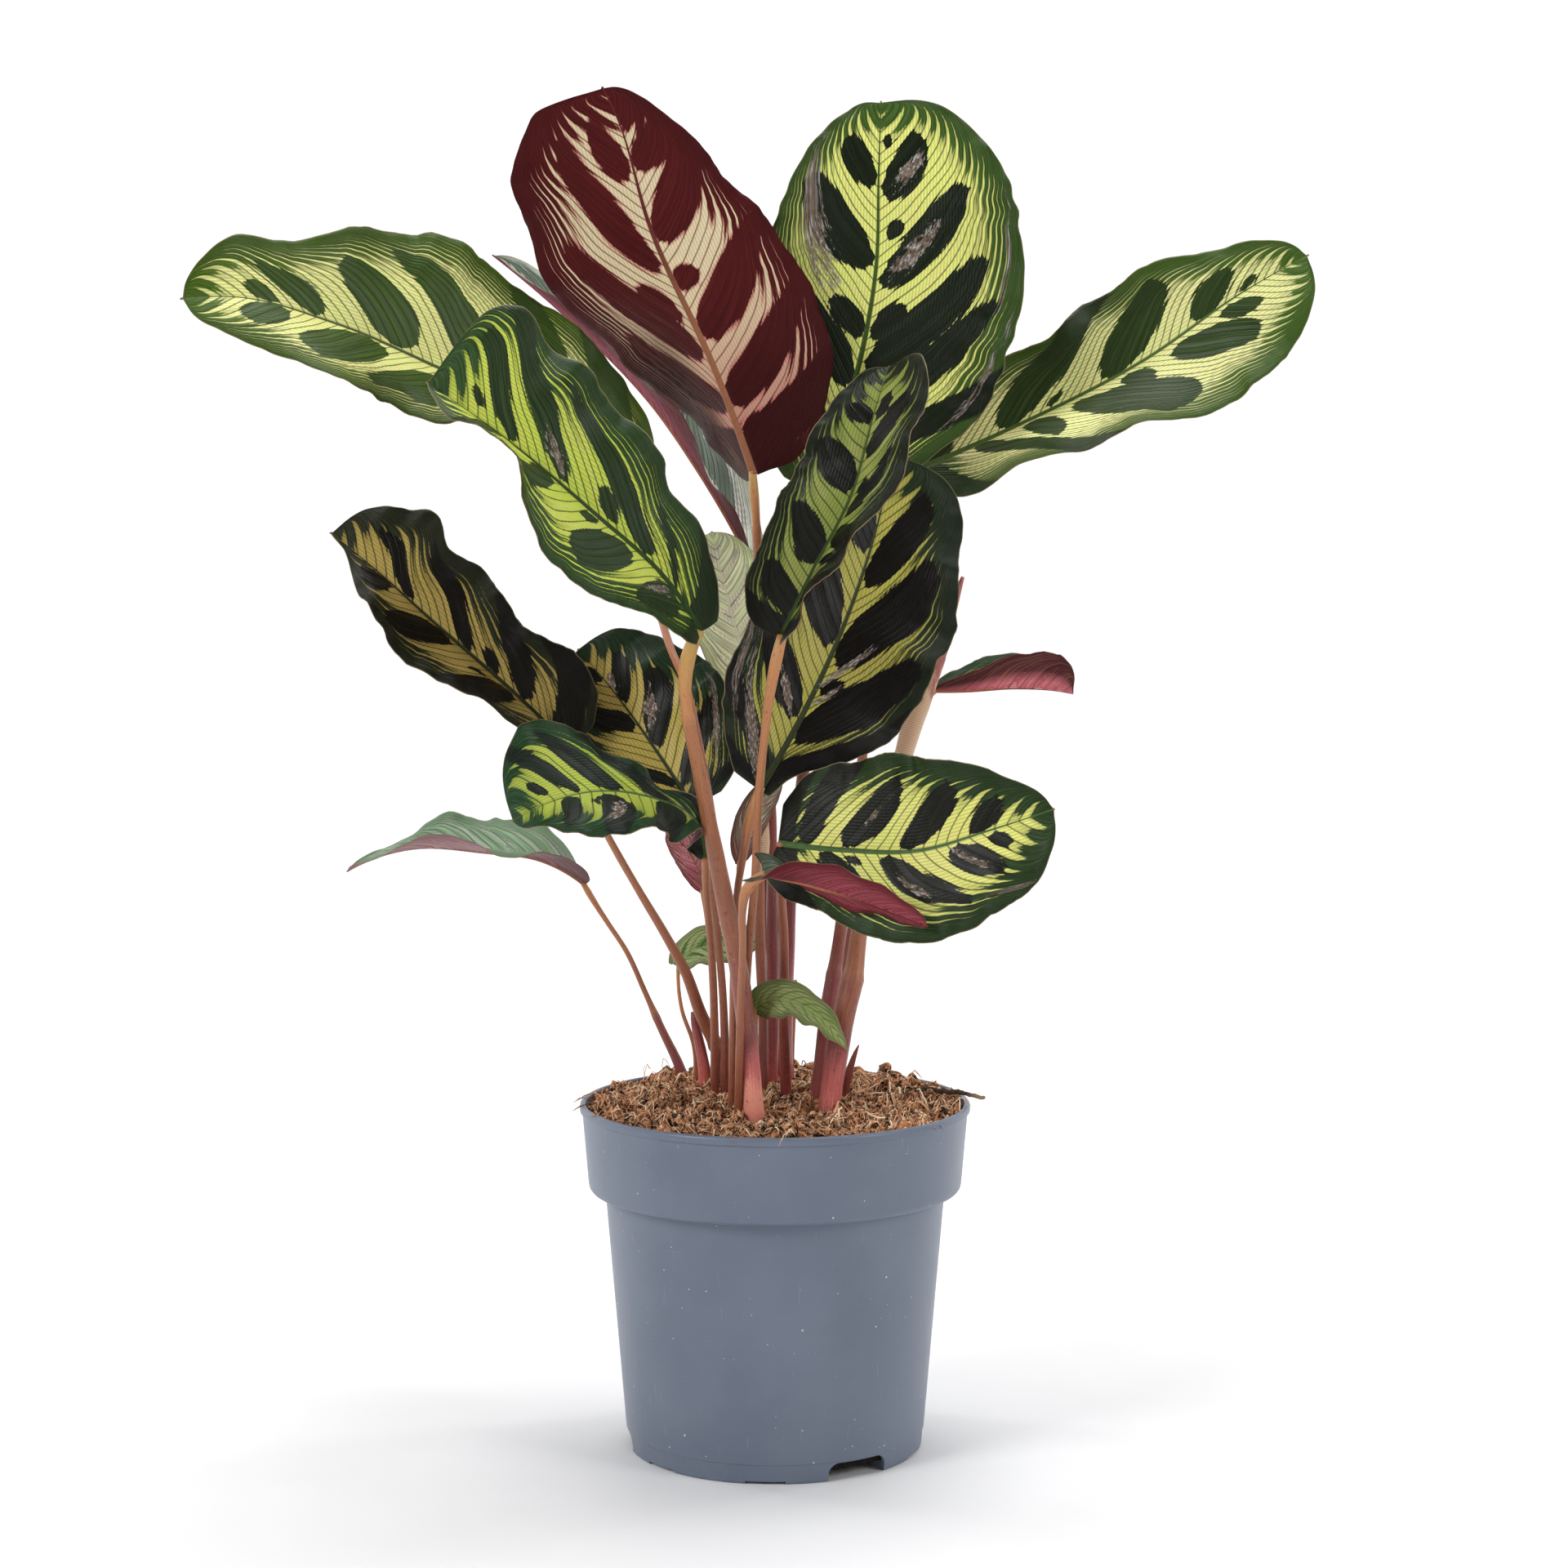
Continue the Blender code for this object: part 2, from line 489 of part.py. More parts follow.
def tube_mesh(points, radii, sides=STEM_SIDES):
    """Vertices and faces of a closed round tube along the points."""
    across, up = ring_frames(points)
    angles = (2 * np.pi * np.arange(sides) / sides)[None, :, None]
    ring = np.cos(angles) * across[:, None] + np.sin(angles) * up[:, None]
    vertices = (points[:, None] + ring * np.asarray(radii)[:, None, None]).reshape(-1, 3)
    faces = []
    for i in range(len(points) - 1):
        for j in range(sides):
            k = (j + 1) % sides
            faces.append([i * sides + j, i * sides + k, (i + 1) * sides + k, (i + 1) * sides + j])
    faces.append(list(range(sides))[::-1])
    faces.append([(len(points) - 1) * sides + j for j in range(sides)])
    return vertices, faces


def stem_line(spec, end=None):
    """Even points and radii along a stem; end is where its blade starts."""
    path = np.array(spec["path"], float) * MM
    radius = np.array(spec["radius"], float) * MM
    if end is not None:
        path = np.vstack([path, end])
        radius = np.append(radius, radius[-1] * STEM_TAPER)
    fine, length = smooth_path(path)
    rings = max(3, round(length[-1] / STEM_STEP) + 2)
    t = np.linspace(0, 1, rings)
    points = path_points(path, t)
    chord = np.concatenate([[0], np.cumsum(np.linalg.norm(np.diff(path, axis=0), axis=1))])
    radii = np.interp(t * chord[-1], chord, radius)
    return points, radii


def stem_end(spine, last_point, radius, joint):
    """End of a stem: a small gap short of the blade's base, more where the two bend."""
    base = spine[0]
    stem_direction = unit(base - last_point)
    blade_direction = unit(path_points(spine, np.array([0.01]))[0] - base)
    bend = np.linalg.norm(np.cross(stem_direction, blade_direction))
    seat = JOINT_GAP + joint + (MIDRIB_HALF_WIDTH + 0.3 * radius) * bend
    return base - stem_direction * seat


def arch_cutter(azimuth):
    """A rounded block that cuts one drainage arch at an azimuth from the front."""
    half = ARCH_WIDTH / 2
    outline = [(-half, -CUT_MARGIN), (half, -CUT_MARGIN)]
    for side in (1, -1):
        for angle in np.radians(np.linspace(0, 90, ARCH_CORNER_POINTS)[::side]):
            outline.append((side * (half - ARCH_CORNER + ARCH_CORNER * math.cos(angle)),
                            ARCH_HEIGHT - ARCH_CORNER + ARCH_CORNER * math.sin(angle)))
    return radial_prism(outline, BASE_RADIUS - ARCH_DEPTH, COLLAR_BOTTOM_RADIUS, azimuth)


def recess_cutter(azimuth):
    """A shallow block that lifts a stretch of the foot ring off the surface."""
    half = RECESS_WIDTH / 2
    outline = [(-half, -CUT_MARGIN), (half, -CUT_MARGIN), (half, RECESS_HEIGHT),
               (-half, RECESS_HEIGHT)]
    inner = BASE_RADIUS - FOOT_WIDTH - CUT_MARGIN
    return radial_prism(outline, inner, COLLAR_BOTTOM_RADIUS, azimuth)


def radial_prism(outline, inner, outer, azimuth):
    """An upright outline (across, up) swept outwards from the pot's axis."""
    turn = math.radians(azimuth)
    outward = np.array([math.sin(turn), -math.cos(turn), 0.0])
    across = np.array([math.cos(turn), math.sin(turn), 0.0])
    rise = np.array([0.0, 0.0, 1.0])
    vertices = []
    for radius in (inner, outer):
        vertices += [outward * radius + across * x + rise * z for x, z in outline]
    count = len(outline)
    faces = [list(range(count)), [count + i for i in range(count)][::-1]]
    for i in range(count):
        j = (i + 1) % count
        faces.append([j, i, count + i, count + j])
    return vertices, faces


def lathe(profile, segments):
    """Vertices and faces of a closed profile (radius, height) turned about Z."""
    vertices = []
    rings = []
    for radius, height in profile:
        if radius < 1e-9:
            rings.append([len(vertices)])
            vertices.append((0.0, 0.0, height))
            continue
        rings.append(list(range(len(vertices), len(vertices) + segments)))
        for k in range(segments):
            angle = 2 * math.pi * (k + 0.5) / segments
            vertices.append((radius * math.cos(angle), radius * math.sin(angle), height))
    faces = []
    for lower, upper in zip(rings, rings[1:]):
        for k in range(segments):
            n = (k + 1) % segments
            if len(lower) == 1:
                faces.append([lower[0], upper[n], upper[k]])
            elif len(upper) == 1:
                faces.append([lower[k], lower[n], upper[0]])
            else:
                faces.append([lower[k], lower[n], upper[n], upper[k]])
    return vertices, faces


def cut(target, cutters, surface):
    """Subtract each (vertices, faces) solid from the target object."""
    for number, (vertices, faces) in enumerate(cutters):
        cutter = add_mesh(f"{target.name}_cutter_{number}", vertices, faces, surface)
        tidy = bmesh.new()
        tidy.from_mesh(cutter.data)
        bmesh.ops.recalc_face_normals(tidy, faces=tidy.faces)
        tidy.to_mesh(cutter.data)
        tidy.free()
        cutter.hide_render = True
        cutter.display_type = "WIRE"
        change = target.modifiers.new(cutter.name, "BOOLEAN")
        change.operation = "DIFFERENCE"
        change.object = cutter


def pot_profile():
    """Closed profile of the pot's wall: up the outside, over the rim, down the inside."""
    collar_bottom = POT_HEIGHT - COLLAR_HEIGHT
    lip_bottom = POT_HEIGHT - LIP_HEIGHT
    collar_inside = COLLAR_BOTTOM_RADIUS - WALL
    return [
        (0.0, FOOT_HEIGHT),
        (BASE_RADIUS - FOOT_WIDTH, FOOT_HEIGHT),
        (BASE_RADIUS - FOOT_WIDTH, 0.0),
        (BASE_RADIUS - EDGE_ROUND, 0.0),
        (BASE_RADIUS, EDGE_ROUND),
        (BODY_TOP_RADIUS, collar_bottom),
        (COLLAR_BOTTOM_RADIUS - COLLAR_ROUND, collar_bottom),
        (COLLAR_BOTTOM_RADIUS, collar_bottom + COLLAR_ROUND),
        (RIM_RADIUS - LIP_OVERHANG, lip_bottom),
        (RIM_RADIUS, lip_bottom + EDGE_ROUND),
        (RIM_RADIUS, POT_HEIGHT - EDGE_ROUND),
        (RIM_RADIUS - EDGE_ROUND, POT_HEIGHT),
        (RIM_RADIUS - RIM_THICKNESS, POT_HEIGHT),
        (collar_inside, collar_bottom + LEDGE_SLOPE),
        (BODY_TOP_RADIUS - WALL, collar_bottom - WALL),
        (BASE_RADIUS - WALL, FOOT_HEIGHT + FLOOR_THICKNESS),
        (0.0, FOOT_HEIGHT + FLOOR_THICKNESS),
    ]


def soil_height(x, y):
    """Height of the soil's surface: it rises a little from the middle towards the back."""
    back = np.clip((y / RIM_RADIUS + 0.4) / 1.4, 0, 1)
    inside = 1 - min(1.0, math.hypot(x, y) / (RIM_RADIUS - RIM_THICKNESS)) ** 4
    ripple = SOIL_RIPPLE * math.sin(140 * x + 0.6) * math.cos(120 * y)
    return SOIL_EDGE_HEIGHT + SOIL_BACK_RISE * back * inside + ripple


def make_pot():
    """The pot: wall, floor, ledged collar, rim lip, foot pads and drainage arches."""
    obj = add_mesh("pot", *lathe(pot_profile(), POT_SEGMENTS), PLASTIC)
    cutters = [arch_cutter(azimuth) for azimuth in ARCH_AZIMUTHS]
    for azimuth in ARCH_AZIMUTHS:
        for offset in RECESS_OFFSETS:
            cutters.append(recess_cutter(azimuth + HALF_ARCH_SPACING + offset))
    cut(obj, cutters, PLASTIC)


def make_soil(feet):
    """The root ball: fills the pot, with a pocket for the foot of each stem."""
    collar_bottom = POT_HEIGHT - COLLAR_HEIGHT
    floor = FOOT_HEIGHT + FLOOR_THICKNESS + SOIL_GAP
    edge = RIM_RADIUS - RIM_THICKNESS - 3 * SOIL_GAP
    wall = [
        (0.0, floor),
        (BASE_RADIUS - WALL - SOIL_GAP, floor),
        (BODY_TOP_RADIUS - WALL - SOIL_GAP, collar_bottom - WALL + SOIL_GAP),
        (COLLAR_BOTTOM_RADIUS - WALL - 2 * SOIL_GAP, collar_bottom + LEDGE_SLOPE + SOIL_GAP),
        (edge, SOIL_EDGE_HEIGHT - SOIL_EDGE_ROUND),
    ]
    top = [(edge * k / SOIL_RINGS, SOIL_EDGE_HEIGHT) for k in range(SOIL_RINGS, -1, -1)]
    vertices, faces = lathe(wall + top, SOIL_SEGMENTS)
    surface = [(x, y, soil_height(x, y) if z == SOIL_EDGE_HEIGHT else z) for x, y, z in vertices]
    obj = add_mesh("soil", surface, faces, SOIL)
    pockets = []
    for points, radii in feet:
        down = unit(points[0] - points[1])
        line = np.array([points[0] + down * POCKET_GAP, points[0], points[0] - down * POCKET_REACH])
        pockets.append(tube_mesh(line, np.full(3, radii[0] + 1.3 * POCKET_GAP), POCKET_SIDES))
    cut(obj, pockets, SOIL)


def make_stem(name, path, surface, end=None):
    """A stem, shoot or twig; returns its line, so that the soil can leave room for it."""
    points, radii = stem_line(path, end)
    add_mesh(name, *tube_mesh(points, radii), surface, points[0])
    return points, radii


def blade_base(name):
    """Points along the start of the leaf that a stem carries."""
    if name in LEAVES:
        return LEAVES[name]["spine"]
    return np.array(ROLLED_LEAVES[name]["path"], float) * MM


def build():
    """Make every piece of the plant."""
    clear_scene()
    for name, spec in LEAVES.items():
        make_blade(name, spec)
    for name, spec in ROLLED_LEAVES.items():
        points, radii = stem_line(spec)
        add_mesh(name, *tube_mesh(points, radii, ROLLED_LEAF_SIDES), PINK, points[0])

    feet = []
    for name, spec in STEMS.items():
        last = np.array(spec["path"][-1], float) * MM
        radius = spec["radius"][-1] * MM
        end = stem_end(blade_base(f"leaf_{name}"), last, radius, spec.get("joint", 0.0) * MM)
        feet.append(make_stem(f"stem_{name}", spec, STEM, end))
    for name, spec in SHOOTS.items():
        feet.append(make_stem(name, spec, STEM))
    feet.append(make_stem("root_twig", ROOT_TWIG, ROOT))

    make_pot()
    make_soil(feet)


build()
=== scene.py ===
"""Looks of the potted peacock plant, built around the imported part.

Lengths are in metres unless a comment says millimetres. -Y is the front of the plant.
"""

import math

import bmesh
import bpy
import numpy as np
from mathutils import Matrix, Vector, noise


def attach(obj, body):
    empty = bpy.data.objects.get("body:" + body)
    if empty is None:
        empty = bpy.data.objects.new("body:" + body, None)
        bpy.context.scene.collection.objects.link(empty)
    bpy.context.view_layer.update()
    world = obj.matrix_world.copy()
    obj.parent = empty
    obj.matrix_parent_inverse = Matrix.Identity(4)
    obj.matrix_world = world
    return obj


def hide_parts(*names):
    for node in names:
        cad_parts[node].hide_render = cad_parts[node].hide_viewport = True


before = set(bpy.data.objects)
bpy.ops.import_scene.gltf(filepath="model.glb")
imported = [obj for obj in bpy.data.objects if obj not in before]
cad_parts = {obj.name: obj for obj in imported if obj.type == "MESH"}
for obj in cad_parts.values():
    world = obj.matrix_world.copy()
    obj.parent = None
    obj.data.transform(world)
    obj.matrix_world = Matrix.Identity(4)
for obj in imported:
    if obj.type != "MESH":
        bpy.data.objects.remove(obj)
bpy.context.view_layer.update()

MM = 0.001
BODY = "root"

# Camera: the photograph's viewing angle and framing for a square image
IMAGE_SIZE = 1920
FOCAL_PIXELS = 3900
SENSOR = 36.0
CAMERA_PLACE = (0.003, -1.05, 0.312)
CAMERA_PITCH = 85.1

# Pot, as in the part
POT_HEIGHT = 0.116
RIM_RADIUS = 0.065
RIM_THICKNESS = 0.0020
LIP_HEIGHT = 0.003
LIP_OVERHANG = 0.0008
COLLAR_HEIGHT = 0.029
COLLAR_BOTTOM = POT_HEIGHT - COLLAR_HEIGHT
COLLAR_BOTTOM_RADIUS = 0.062
BODY_TOP_RADIUS = 0.0567
BASE_RADIUS = 0.0491
WALL = 0.0012
LEDGE_SLOPE = 0.004
FOOT_HEIGHT = 0.0015
FLOOR_THICKNESS = 0.0015
FLOOR_TOP = FOOT_HEIGHT + FLOOR_THICKNESS
FOOT_WIDTH = 0.007
BASE_LINE_HEIGHT = 0.0064
BASE_LINE_STEP = 0.0003
POT_SEGMENTS = 240
POT_SHARP_ANGLE = 38

ARCH_AZIMUTHS = (33.5, 153.5, 273.5)
ARCH_WIDTH = 0.022
ARCH_HEIGHT = 0.006
ARCH_DEPTH = 0.014
ARCH_CORNER = 0.0036
RECESS_WIDTH = 0.013
RECESS_HEIGHT = 0.001
RECESS_OFFSETS = (-23.0, 23.0)
HALF_ARCH_SPACING = 60.0
CUT_MARGIN = 0.002

# Soil
SOIL_EDGE_HEIGHT = 0.1145
SOIL_BACK_RISE = 0.0045
SOIL_RIPPLE = 0.0007
SOIL_RINGS = 86
SOIL_SEGMENTS = 330
SOIL_GAP = 0.0004
SOIL_EDGE_GAP = 0.0006
SOIL_EDGE_DROP = 0.003
SOIL_LUMPS = ((0.014, 0.0022), (0.006, 0.0040), (0.0028, 0.0030), (0.0012, 0.0010))

# Coir fibres, the first of them pale rootlets
FIBRE_COUNT = 6400
ROOTLET_COUNT = 60
FIBRE_RINGS = 5
FIBRE_SIDES = 3
FIBRE_BEND = 1.1
FIBRE_LENGTH = (0.003, 0.011)
FIBRE_RADIUS = (0.00010, 0.00028)
FIBRE_END = 0.25
FIBRE_LIFT = 0.0014
FIBRE_CLEARANCE = 0.0002
FIBRE_EDGE = RIM_RADIUS - 0.003
ROOTLET_EXTRA_RADIUS = 0.0002
RIM_EDGE = RIM_RADIUS - 0.0035
OVER_RIM_SHARE = 0.04
OVER_RIM_LIFT = 0.0016

CRUMB_COUNT = 1100
CRUMB_SIZES = (0.0005, 0.0021)
CRUMB_STRETCH = (0.45, 1.3)
CRUMB_LUMPS = 0.16
CRUMB_SUNK = 0.25
CRUMB_EDGE = RIM_RADIUS - 0.0045

ROOT_RINGS = 44
ROOT_SIDES = 12
ROOT_KNOTS = 0.09
ROOT_SWAY = 0.0004

# Studio: each light's place, aim, size and power in watts
FLOOR_RINGS = (0.0, 0.5, 1.2)
FLOOR_RADIUS = 2.2
FLOOR_SEGMENTS = 96
WALL_BEND = 1.5
WALL_BEND_STEPS = 16
WALL_TOP = 2.2
WORLD_STRENGTH = 0.16
PLANT_CENTRE = (0.0, 0.0, 0.25)
LIGHTS = {
    "left_softbox": ((-1.5, -1.2, 1.3), PLANT_CENTRE, 0.75, 22.0),
    "right_softbox": ((1.6, -0.9, 1.0), PLANT_CENTRE, 0.7, 11.0),
    "top_softbox": ((0.1, 0.3, 1.9), PLANT_CENTRE, 1.0, 21.0),
    "wall_light_-1": ((-2.0, 1.0, 1.6), (-0.6, 3.6, 0.8), 1.2, 40.0),
    "wall_light_1": ((2.0, 1.0, 1.6), (0.6, 3.6, 0.8), 1.2, 40.0),
}

# Blades
MIDRIB_HALF_WIDTH = 0.0013
MIDRIB_WIDTH_MM = 1.15
SPINE_STEP = 0.001
FLAT_CURL = 1e-4
ROW_STEP, ROW_COUNTS = 0.0011, (40, 128)
COLUMN_STEP, COLUMN_COUNTS = 0.0014, (9, 28)
EDGE_HALF_THICKNESS = 0.00009
MIDDLE_EXTRA_THICKNESS = 0.00013
GROOVE_DEPTH = 0.00045
RIDGE_HEIGHT = 0.00125
RIDGE_WIDTH_MM = 1.2
RIDGE_FULL_LENGTH = 0.11
QUILT_HEIGHT = 0.00016
QUILT_SPACING = 0.0085
SWELL_HEIGHT = 0.0006
FRILL_HEIGHT = 0.0016
RELIEF_FULL_LENGTH = 0.1
VEIN_SPACING_MM = 4.0
VEIN_BEND = 0.34
DEEPEST_BLOTCH_MM = 3.0

# Stems and rolled leaves
STEM_SIDES = 16
STEM_RING_STEP = 0.0022
STEM_SUNK = 0.006
STEM_INTO_BLADE = 0.0012
STEM_FLUTE = 0.07
SHEATH_FIT = (1.05, 0.93)
SHEATH_LIP = 0.00022
SHEATH_LIP_SIZE = 0.0016
SCAR_SIZE = 0.0010
SHOOT_TIP = 0.003
FOOT_TOP, FOOT_FADE = 0.119, 0.005
BLUSH_TOP, BLUSH_FADE = 0.146, 0.026
ROLL_SIDES = 32
ROLL_RING_STEP = 0.0012
ROLL_TURNS = 0.9
ROLL_SEAM = 0.06


def leaf(spine, face, left, right, fold_left=(15,), fold_right=(15,), curl=(-10, -10),
         wave=(0.0, 0.0), wave_left=(3.0, 0.1), wave_right=(4.0, 0.4), ends=(0.5, 0.5),
         drip=0.03, lobe=(3.0, 3.0), trim=((0,), (0,)), shoulder=(0.0, 0.0)):
    """One blade.

    spine: points along the midrib from base to tip, mm.
    face: directions that the upper side faces, from base to tip.
    left, right: half widths along the blade, mm; fold and curl: degrees up from flat.
    wave: height of the margin's ripple on each side, mm; wave_left: ripples and phase.
    ends: roundness of the base and the tip; drip: size of the pointed tip.
    lobe: how far the base lobes reach back past the stem, mm.
    trim: what the margin's own waves add to the left and right half widths, mm.
    shoulder: how far the margin is pushed towards the tip beside it, mm.
    """
    return dict(spine=np.array(spine, float) * MM, face=np.array(face, float),
                width=(left, right), fold=(fold_left, fold_right), curl=curl, wave=wave,
                ripple=(wave_left, wave_right), ends=ends, drip=drip, lobe=lobe, trim=trim,
                shoulder=shoulder)


LEAVES = {
    "top_left": leaf(
        spine=[(-7, 12, 324), (-20, 15, 359), (-41, 11, 405), (-52, 2, 441), (-56, -2, 449)],
        face=[(0, 1, 0)], left=(50, 46, 38, 31, 20), right=(40, 40, 42, 51, 72), fold_left=(5,),
        fold_right=(75, 60, 35, 5, 0), curl=(5, 0), wave=(1.5, 2.0), drip=0.02, ends=(0.5, 0.48),
        trim=((0, 0, 0, 0, 0, 0, 0, -1, 0, -1, -1), (0, 0, 0, 0, 0, 0, -2, -5, -4, -7, -5)),
        shoulder=(0, 10)),
    "top_right": leaf(
        spine=[(14, 28, 318), (27, 35, 356), (34, 36, 393), (35, 40, 425), (36, 50, 451)],
        face=[(0, -1, 0.1)], left=(48, 36, 34, 34, 38), right=(36, 50, 50, 47, 50), fold_left=(8,),
        fold_right=(8,), curl=(5, 5), wave=(1.0, 2.0), ends=(0.5, 0.4), drip=0.01,
        trim=((0, 0, 0, 0, 0, 3, 4, 2.5, -2, -6, -8), (0, 0, 0, 0, 0, 0, 1.5, 2, 1, -2, -6)),
        shoulder=(1, 3)),
    "right_upper": leaf(
        spine=[(48, 42, 326), (81, 49, 340), (126, 54, 363), (161, 58, 387), (184, 60, 400)],
        face=[(0.1, -0.8, 0.55)], left=(22, 28, 28, 28, 26), right=(32, 34, 36, 38, 40),
        fold_left=(22,), fold_right=(5, 42, 32, 10, 5), wave=(2.0, 3.0),
        trim=((0, 0, 0, -2, -5, 0, -1, 1, -2, -1.5, 0), (1, 1, 0, 6, 1, 0, 0, -1, 0, 0.5, 0))),
    "left_upper": leaf(
        spine=[(-45, 12, 324), (-77, 0, 343), (-109, -15, 358), (-139, -35, 371), (-168, -54, 378),
        (-183, -60, 377)], face=[(0.3, -0.78, 0.6)], left=(30, 30, 34, 32, 26),
        right=(48, 40, 42, 32, 36), fold_left=(30, 35, 25, 15, 5), fold_right=(25,),
        wave=(2.0, 3.0), ends=(0.5, 0.42), trim=((0, 0, 0, 0, 0, 0, -3.4, 1, -2.5, -2, 0),
        (0, 0, 0, 1, 0, 1, 1, 0, -4.7, -3, -8))),
    "left_front": leaf(
        spine=[(-23, -52, 274), (-34, -60, 291), (-55, -70, 311), (-86, -76, 337),
        (-106, -73, 351)], face=[(0.35, -0.75, 0.5)], left=(24, 26, 30, 20, 18),
        right=(24, 24, 30, 46, 62), fold_left=(25, 25, 20, 50, 30), fold_right=(25,),
        wave=(2.0, 3.0), ends=(0.5, 0.5), drip=0.04, trim=((0, 0, 0, 5, 5, 1, 0, 2, 5, 0, -4),
        (0, 0, 0, 0, 2.5, 0, -3, -6, -6, 5, 8)), shoulder=(0, 5)),
    "left_middle": leaf(
        spine=[(-67, -8, 234), (-85, -16, 253), (-110, -21, 276), (-130, -20, 294),
        (-144, -16, 305)], face=[(0.3, -0.8, 0.45)], left=(20, 22, 24, 22, 8),
        right=(36, 25, 25, 28, 42), fold_left=(50, 45, 32, 28, 25), fold_right=(22,),
        wave=(2.0, 3.0), drip=0.04, trim=((0, 0, -2, 1, 1.5, -2, 0, 0, -2.5, -5, -2),
        (2, 3, 2, -1, -4.5, -3, 0, -3.5, 3.5, -1, 0))),
    "left_inner": leaf(
        spine=[(-27, -8, 215), (-40, 2, 234), (-57, 11, 256), (-66, 15, 266)], face=[(0, -1, 0.2)],
        left=(26,), right=(38, 31, 32, 28, 32), wave=(2.0, 2.0), drip=0.02),
    "left_lower": leaf(
        spine=[(-22, -30, 200), (-26, -35, 214), (-38, -44, 221), (-58, -54, 224), (-82, -58, 215)],
        face=[(0, -0.6, 0.8)], left=(10, 16, 26, 26, 20), right=(10, 8, 14, 36, 40),
        wave=(3.0, 2.0), wave_left=(3.0, 0.6), drip=0.02, lobe=(1, 1), trim=((0,),
        (0, 0, 0, 0, 0, 0, 0, -2, 4, 3, 0))),
    "centre_front": leaf(
        spine=[(2, -50, 272), (12, -57, 293), (24, -63, 317), (31, -57, 342), (36, -47, 357)],
        face=[(-0.5, -0.8, 0.1)], left=(32, 22, 21, 19, 20), right=(12, 14, 18, 24, 34),
        fold_left=(20,), fold_right=(55, 50, 35, 20, 20), wave=(1.5, 2.0), ends=(0.45, 0.45),
        shoulder=(2, 4)),
    "centre": leaf(
        spine=[(-5, -36, 223), (7, -27, 243), (22, -15, 274), (32, -4, 302), (39, 6, 331)],
        face=[(0.2, -1, 0.1)], left=(38, 34, 30, 30, 34), right=(14, 28, 32, 36, 48),
        wave=(2.0, 2.0), drip=0.02, trim=((0,), (0, -4, 1.5, 3, 2, 1, 2.5, -1, -1.3, 0, 0))),
    "right_lower": leaf(
        spine=[(1, -45, 207), (21, -56, 206), (45, -67, 207), (66, -75, 214), (86, -78, 221)],
        face=[(0, -0.95, 0.3)], left=(38, 32, 30, 24, 22), right=(34, 28, 30, 31, 32),
        fold_left=(10,), fold_right=(10,), curl=(-5, -5), wave=(2.0, 2.0), ends=(0.45, 0.5),
        trim=((0, 0, 0, 0, 0, 0.7, 2, 2.5, 2, 0, 0), (0, -2.5, -4, -2, -0.5, 0, -1, 0, 0, 0, 0))),
    "folded_front": leaf(
        spine=[(-4, -62, 199), (3, -66, 198), (13, -71, 196), (28, -77, 192), (47, -82, 185)],
        face=[(-0.2, -0.6, 0.8), (0, 0.8, 0.6), (0, 0.8, 0.6), (0, 0.8, 0.6)],
        left=(13, 6, 7, 6, 5), right=(11, 9, 9, 9, 8), wave=(0.8, 0.8), fold_left=(20,),
        fold_right=(20,), lobe=(9, 6), ends=(0.28, 0.5), drip=0.06),
    "left_trailing": leaf(
        spine=[(-66, 50, 183), (-81, 45, 192), (-100, 42, 195), (-125, 44, 196), (-149, 51, 187)],
        face=[(0, -0.2, 1)], left=(14, 16, 14, 12, 10), right=(20, 24, 22, 16, 10), fold_left=(30,),
        fold_right=(20,), wave=(3.0, 2.0), wave_left=(2.0, 0.1), wave_right=(2.5, 0.75),
        ends=(0.5, 0.7), drip=0.06, lobe=(1, 1)),
    "right_small": leaf(
        spine=[(54, 50, 250), (65, 50, 250), (84, 50, 251), (98, 50, 250), (103, 50, 249)],
        face=[(0, 0, 1)], left=(11, 13, 15, 15, 14), right=(7, 9, 13, 18, 24), fold_left=(55,),
        fold_right=(60,), ends=(0.5, 0.45), lobe=(0, 0)),
    "back_upper": leaf(
        spine=[(-9, 60, 296), (-28, 74, 328), (-43, 80, 349), (-68, 84, 375), (-100, 86, 402)],
        face=[(0.7, -0.3, 0.6)], left=(10, 12, 12, 10, 8), right=(20, 20, 20, 18, 14),
        fold_left=(45,), fold_right=(35,), wave=(2.0, 3.0), ends=(0.5, 0.6), drip=0.05),
    "back_inner": leaf(
        spine=[(-5, 42, 247), (-12, 45, 266), (-18, 49, 288), (-22, 51, 305)],
        face=[(0, -0.6, 0.8)], left=(16,), right=(17,), wave=(1.5, 1.5)),
    "young_front": leaf(
        spine=[(-7, -22, 150), (-1, -26, 154), (10, -30, 152), (17, -33, 147), (23, -35, 139)],
        face=[(0, -1, 0.2), (0, -0.8, 0.6), (0.2, -0.6, 0.8)], left=(7, 7, 6, 5, 4),
        right=(8, 7, 6, 6, 4), wave=(1.2, 1.6), ends=(0.4, 0.6), drip=0.06, lobe=(0, 0)),
    "young_back": leaf(
        spine=[(-34, 30, 157), (-28, 31, 162), (-17, 33, 164), (-4, 35, 167)],
        face=[(0, -0.7, 0.6)], left=(8,), right=(8,), wave=(1.0, 1.0), lobe=(2, 2)),
    "pink_small": leaf(
        spine=[(-24, 6, 185), (-26, 4, 194), (-30, 2, 201), (-36, 0, 206)], face=[(0, 1, 0.1)],
        left=(6,), right=(6,), lobe=(0, 0)),
    "pale_inner": leaf(
        spine=[(-12, 2, 195), (-10, 2, 205), (-5, 2, 216), (2, 1, 224)], face=[(0, 1, 0)],
        left=(6,), right=(5,), lobe=(0, 0)),
}


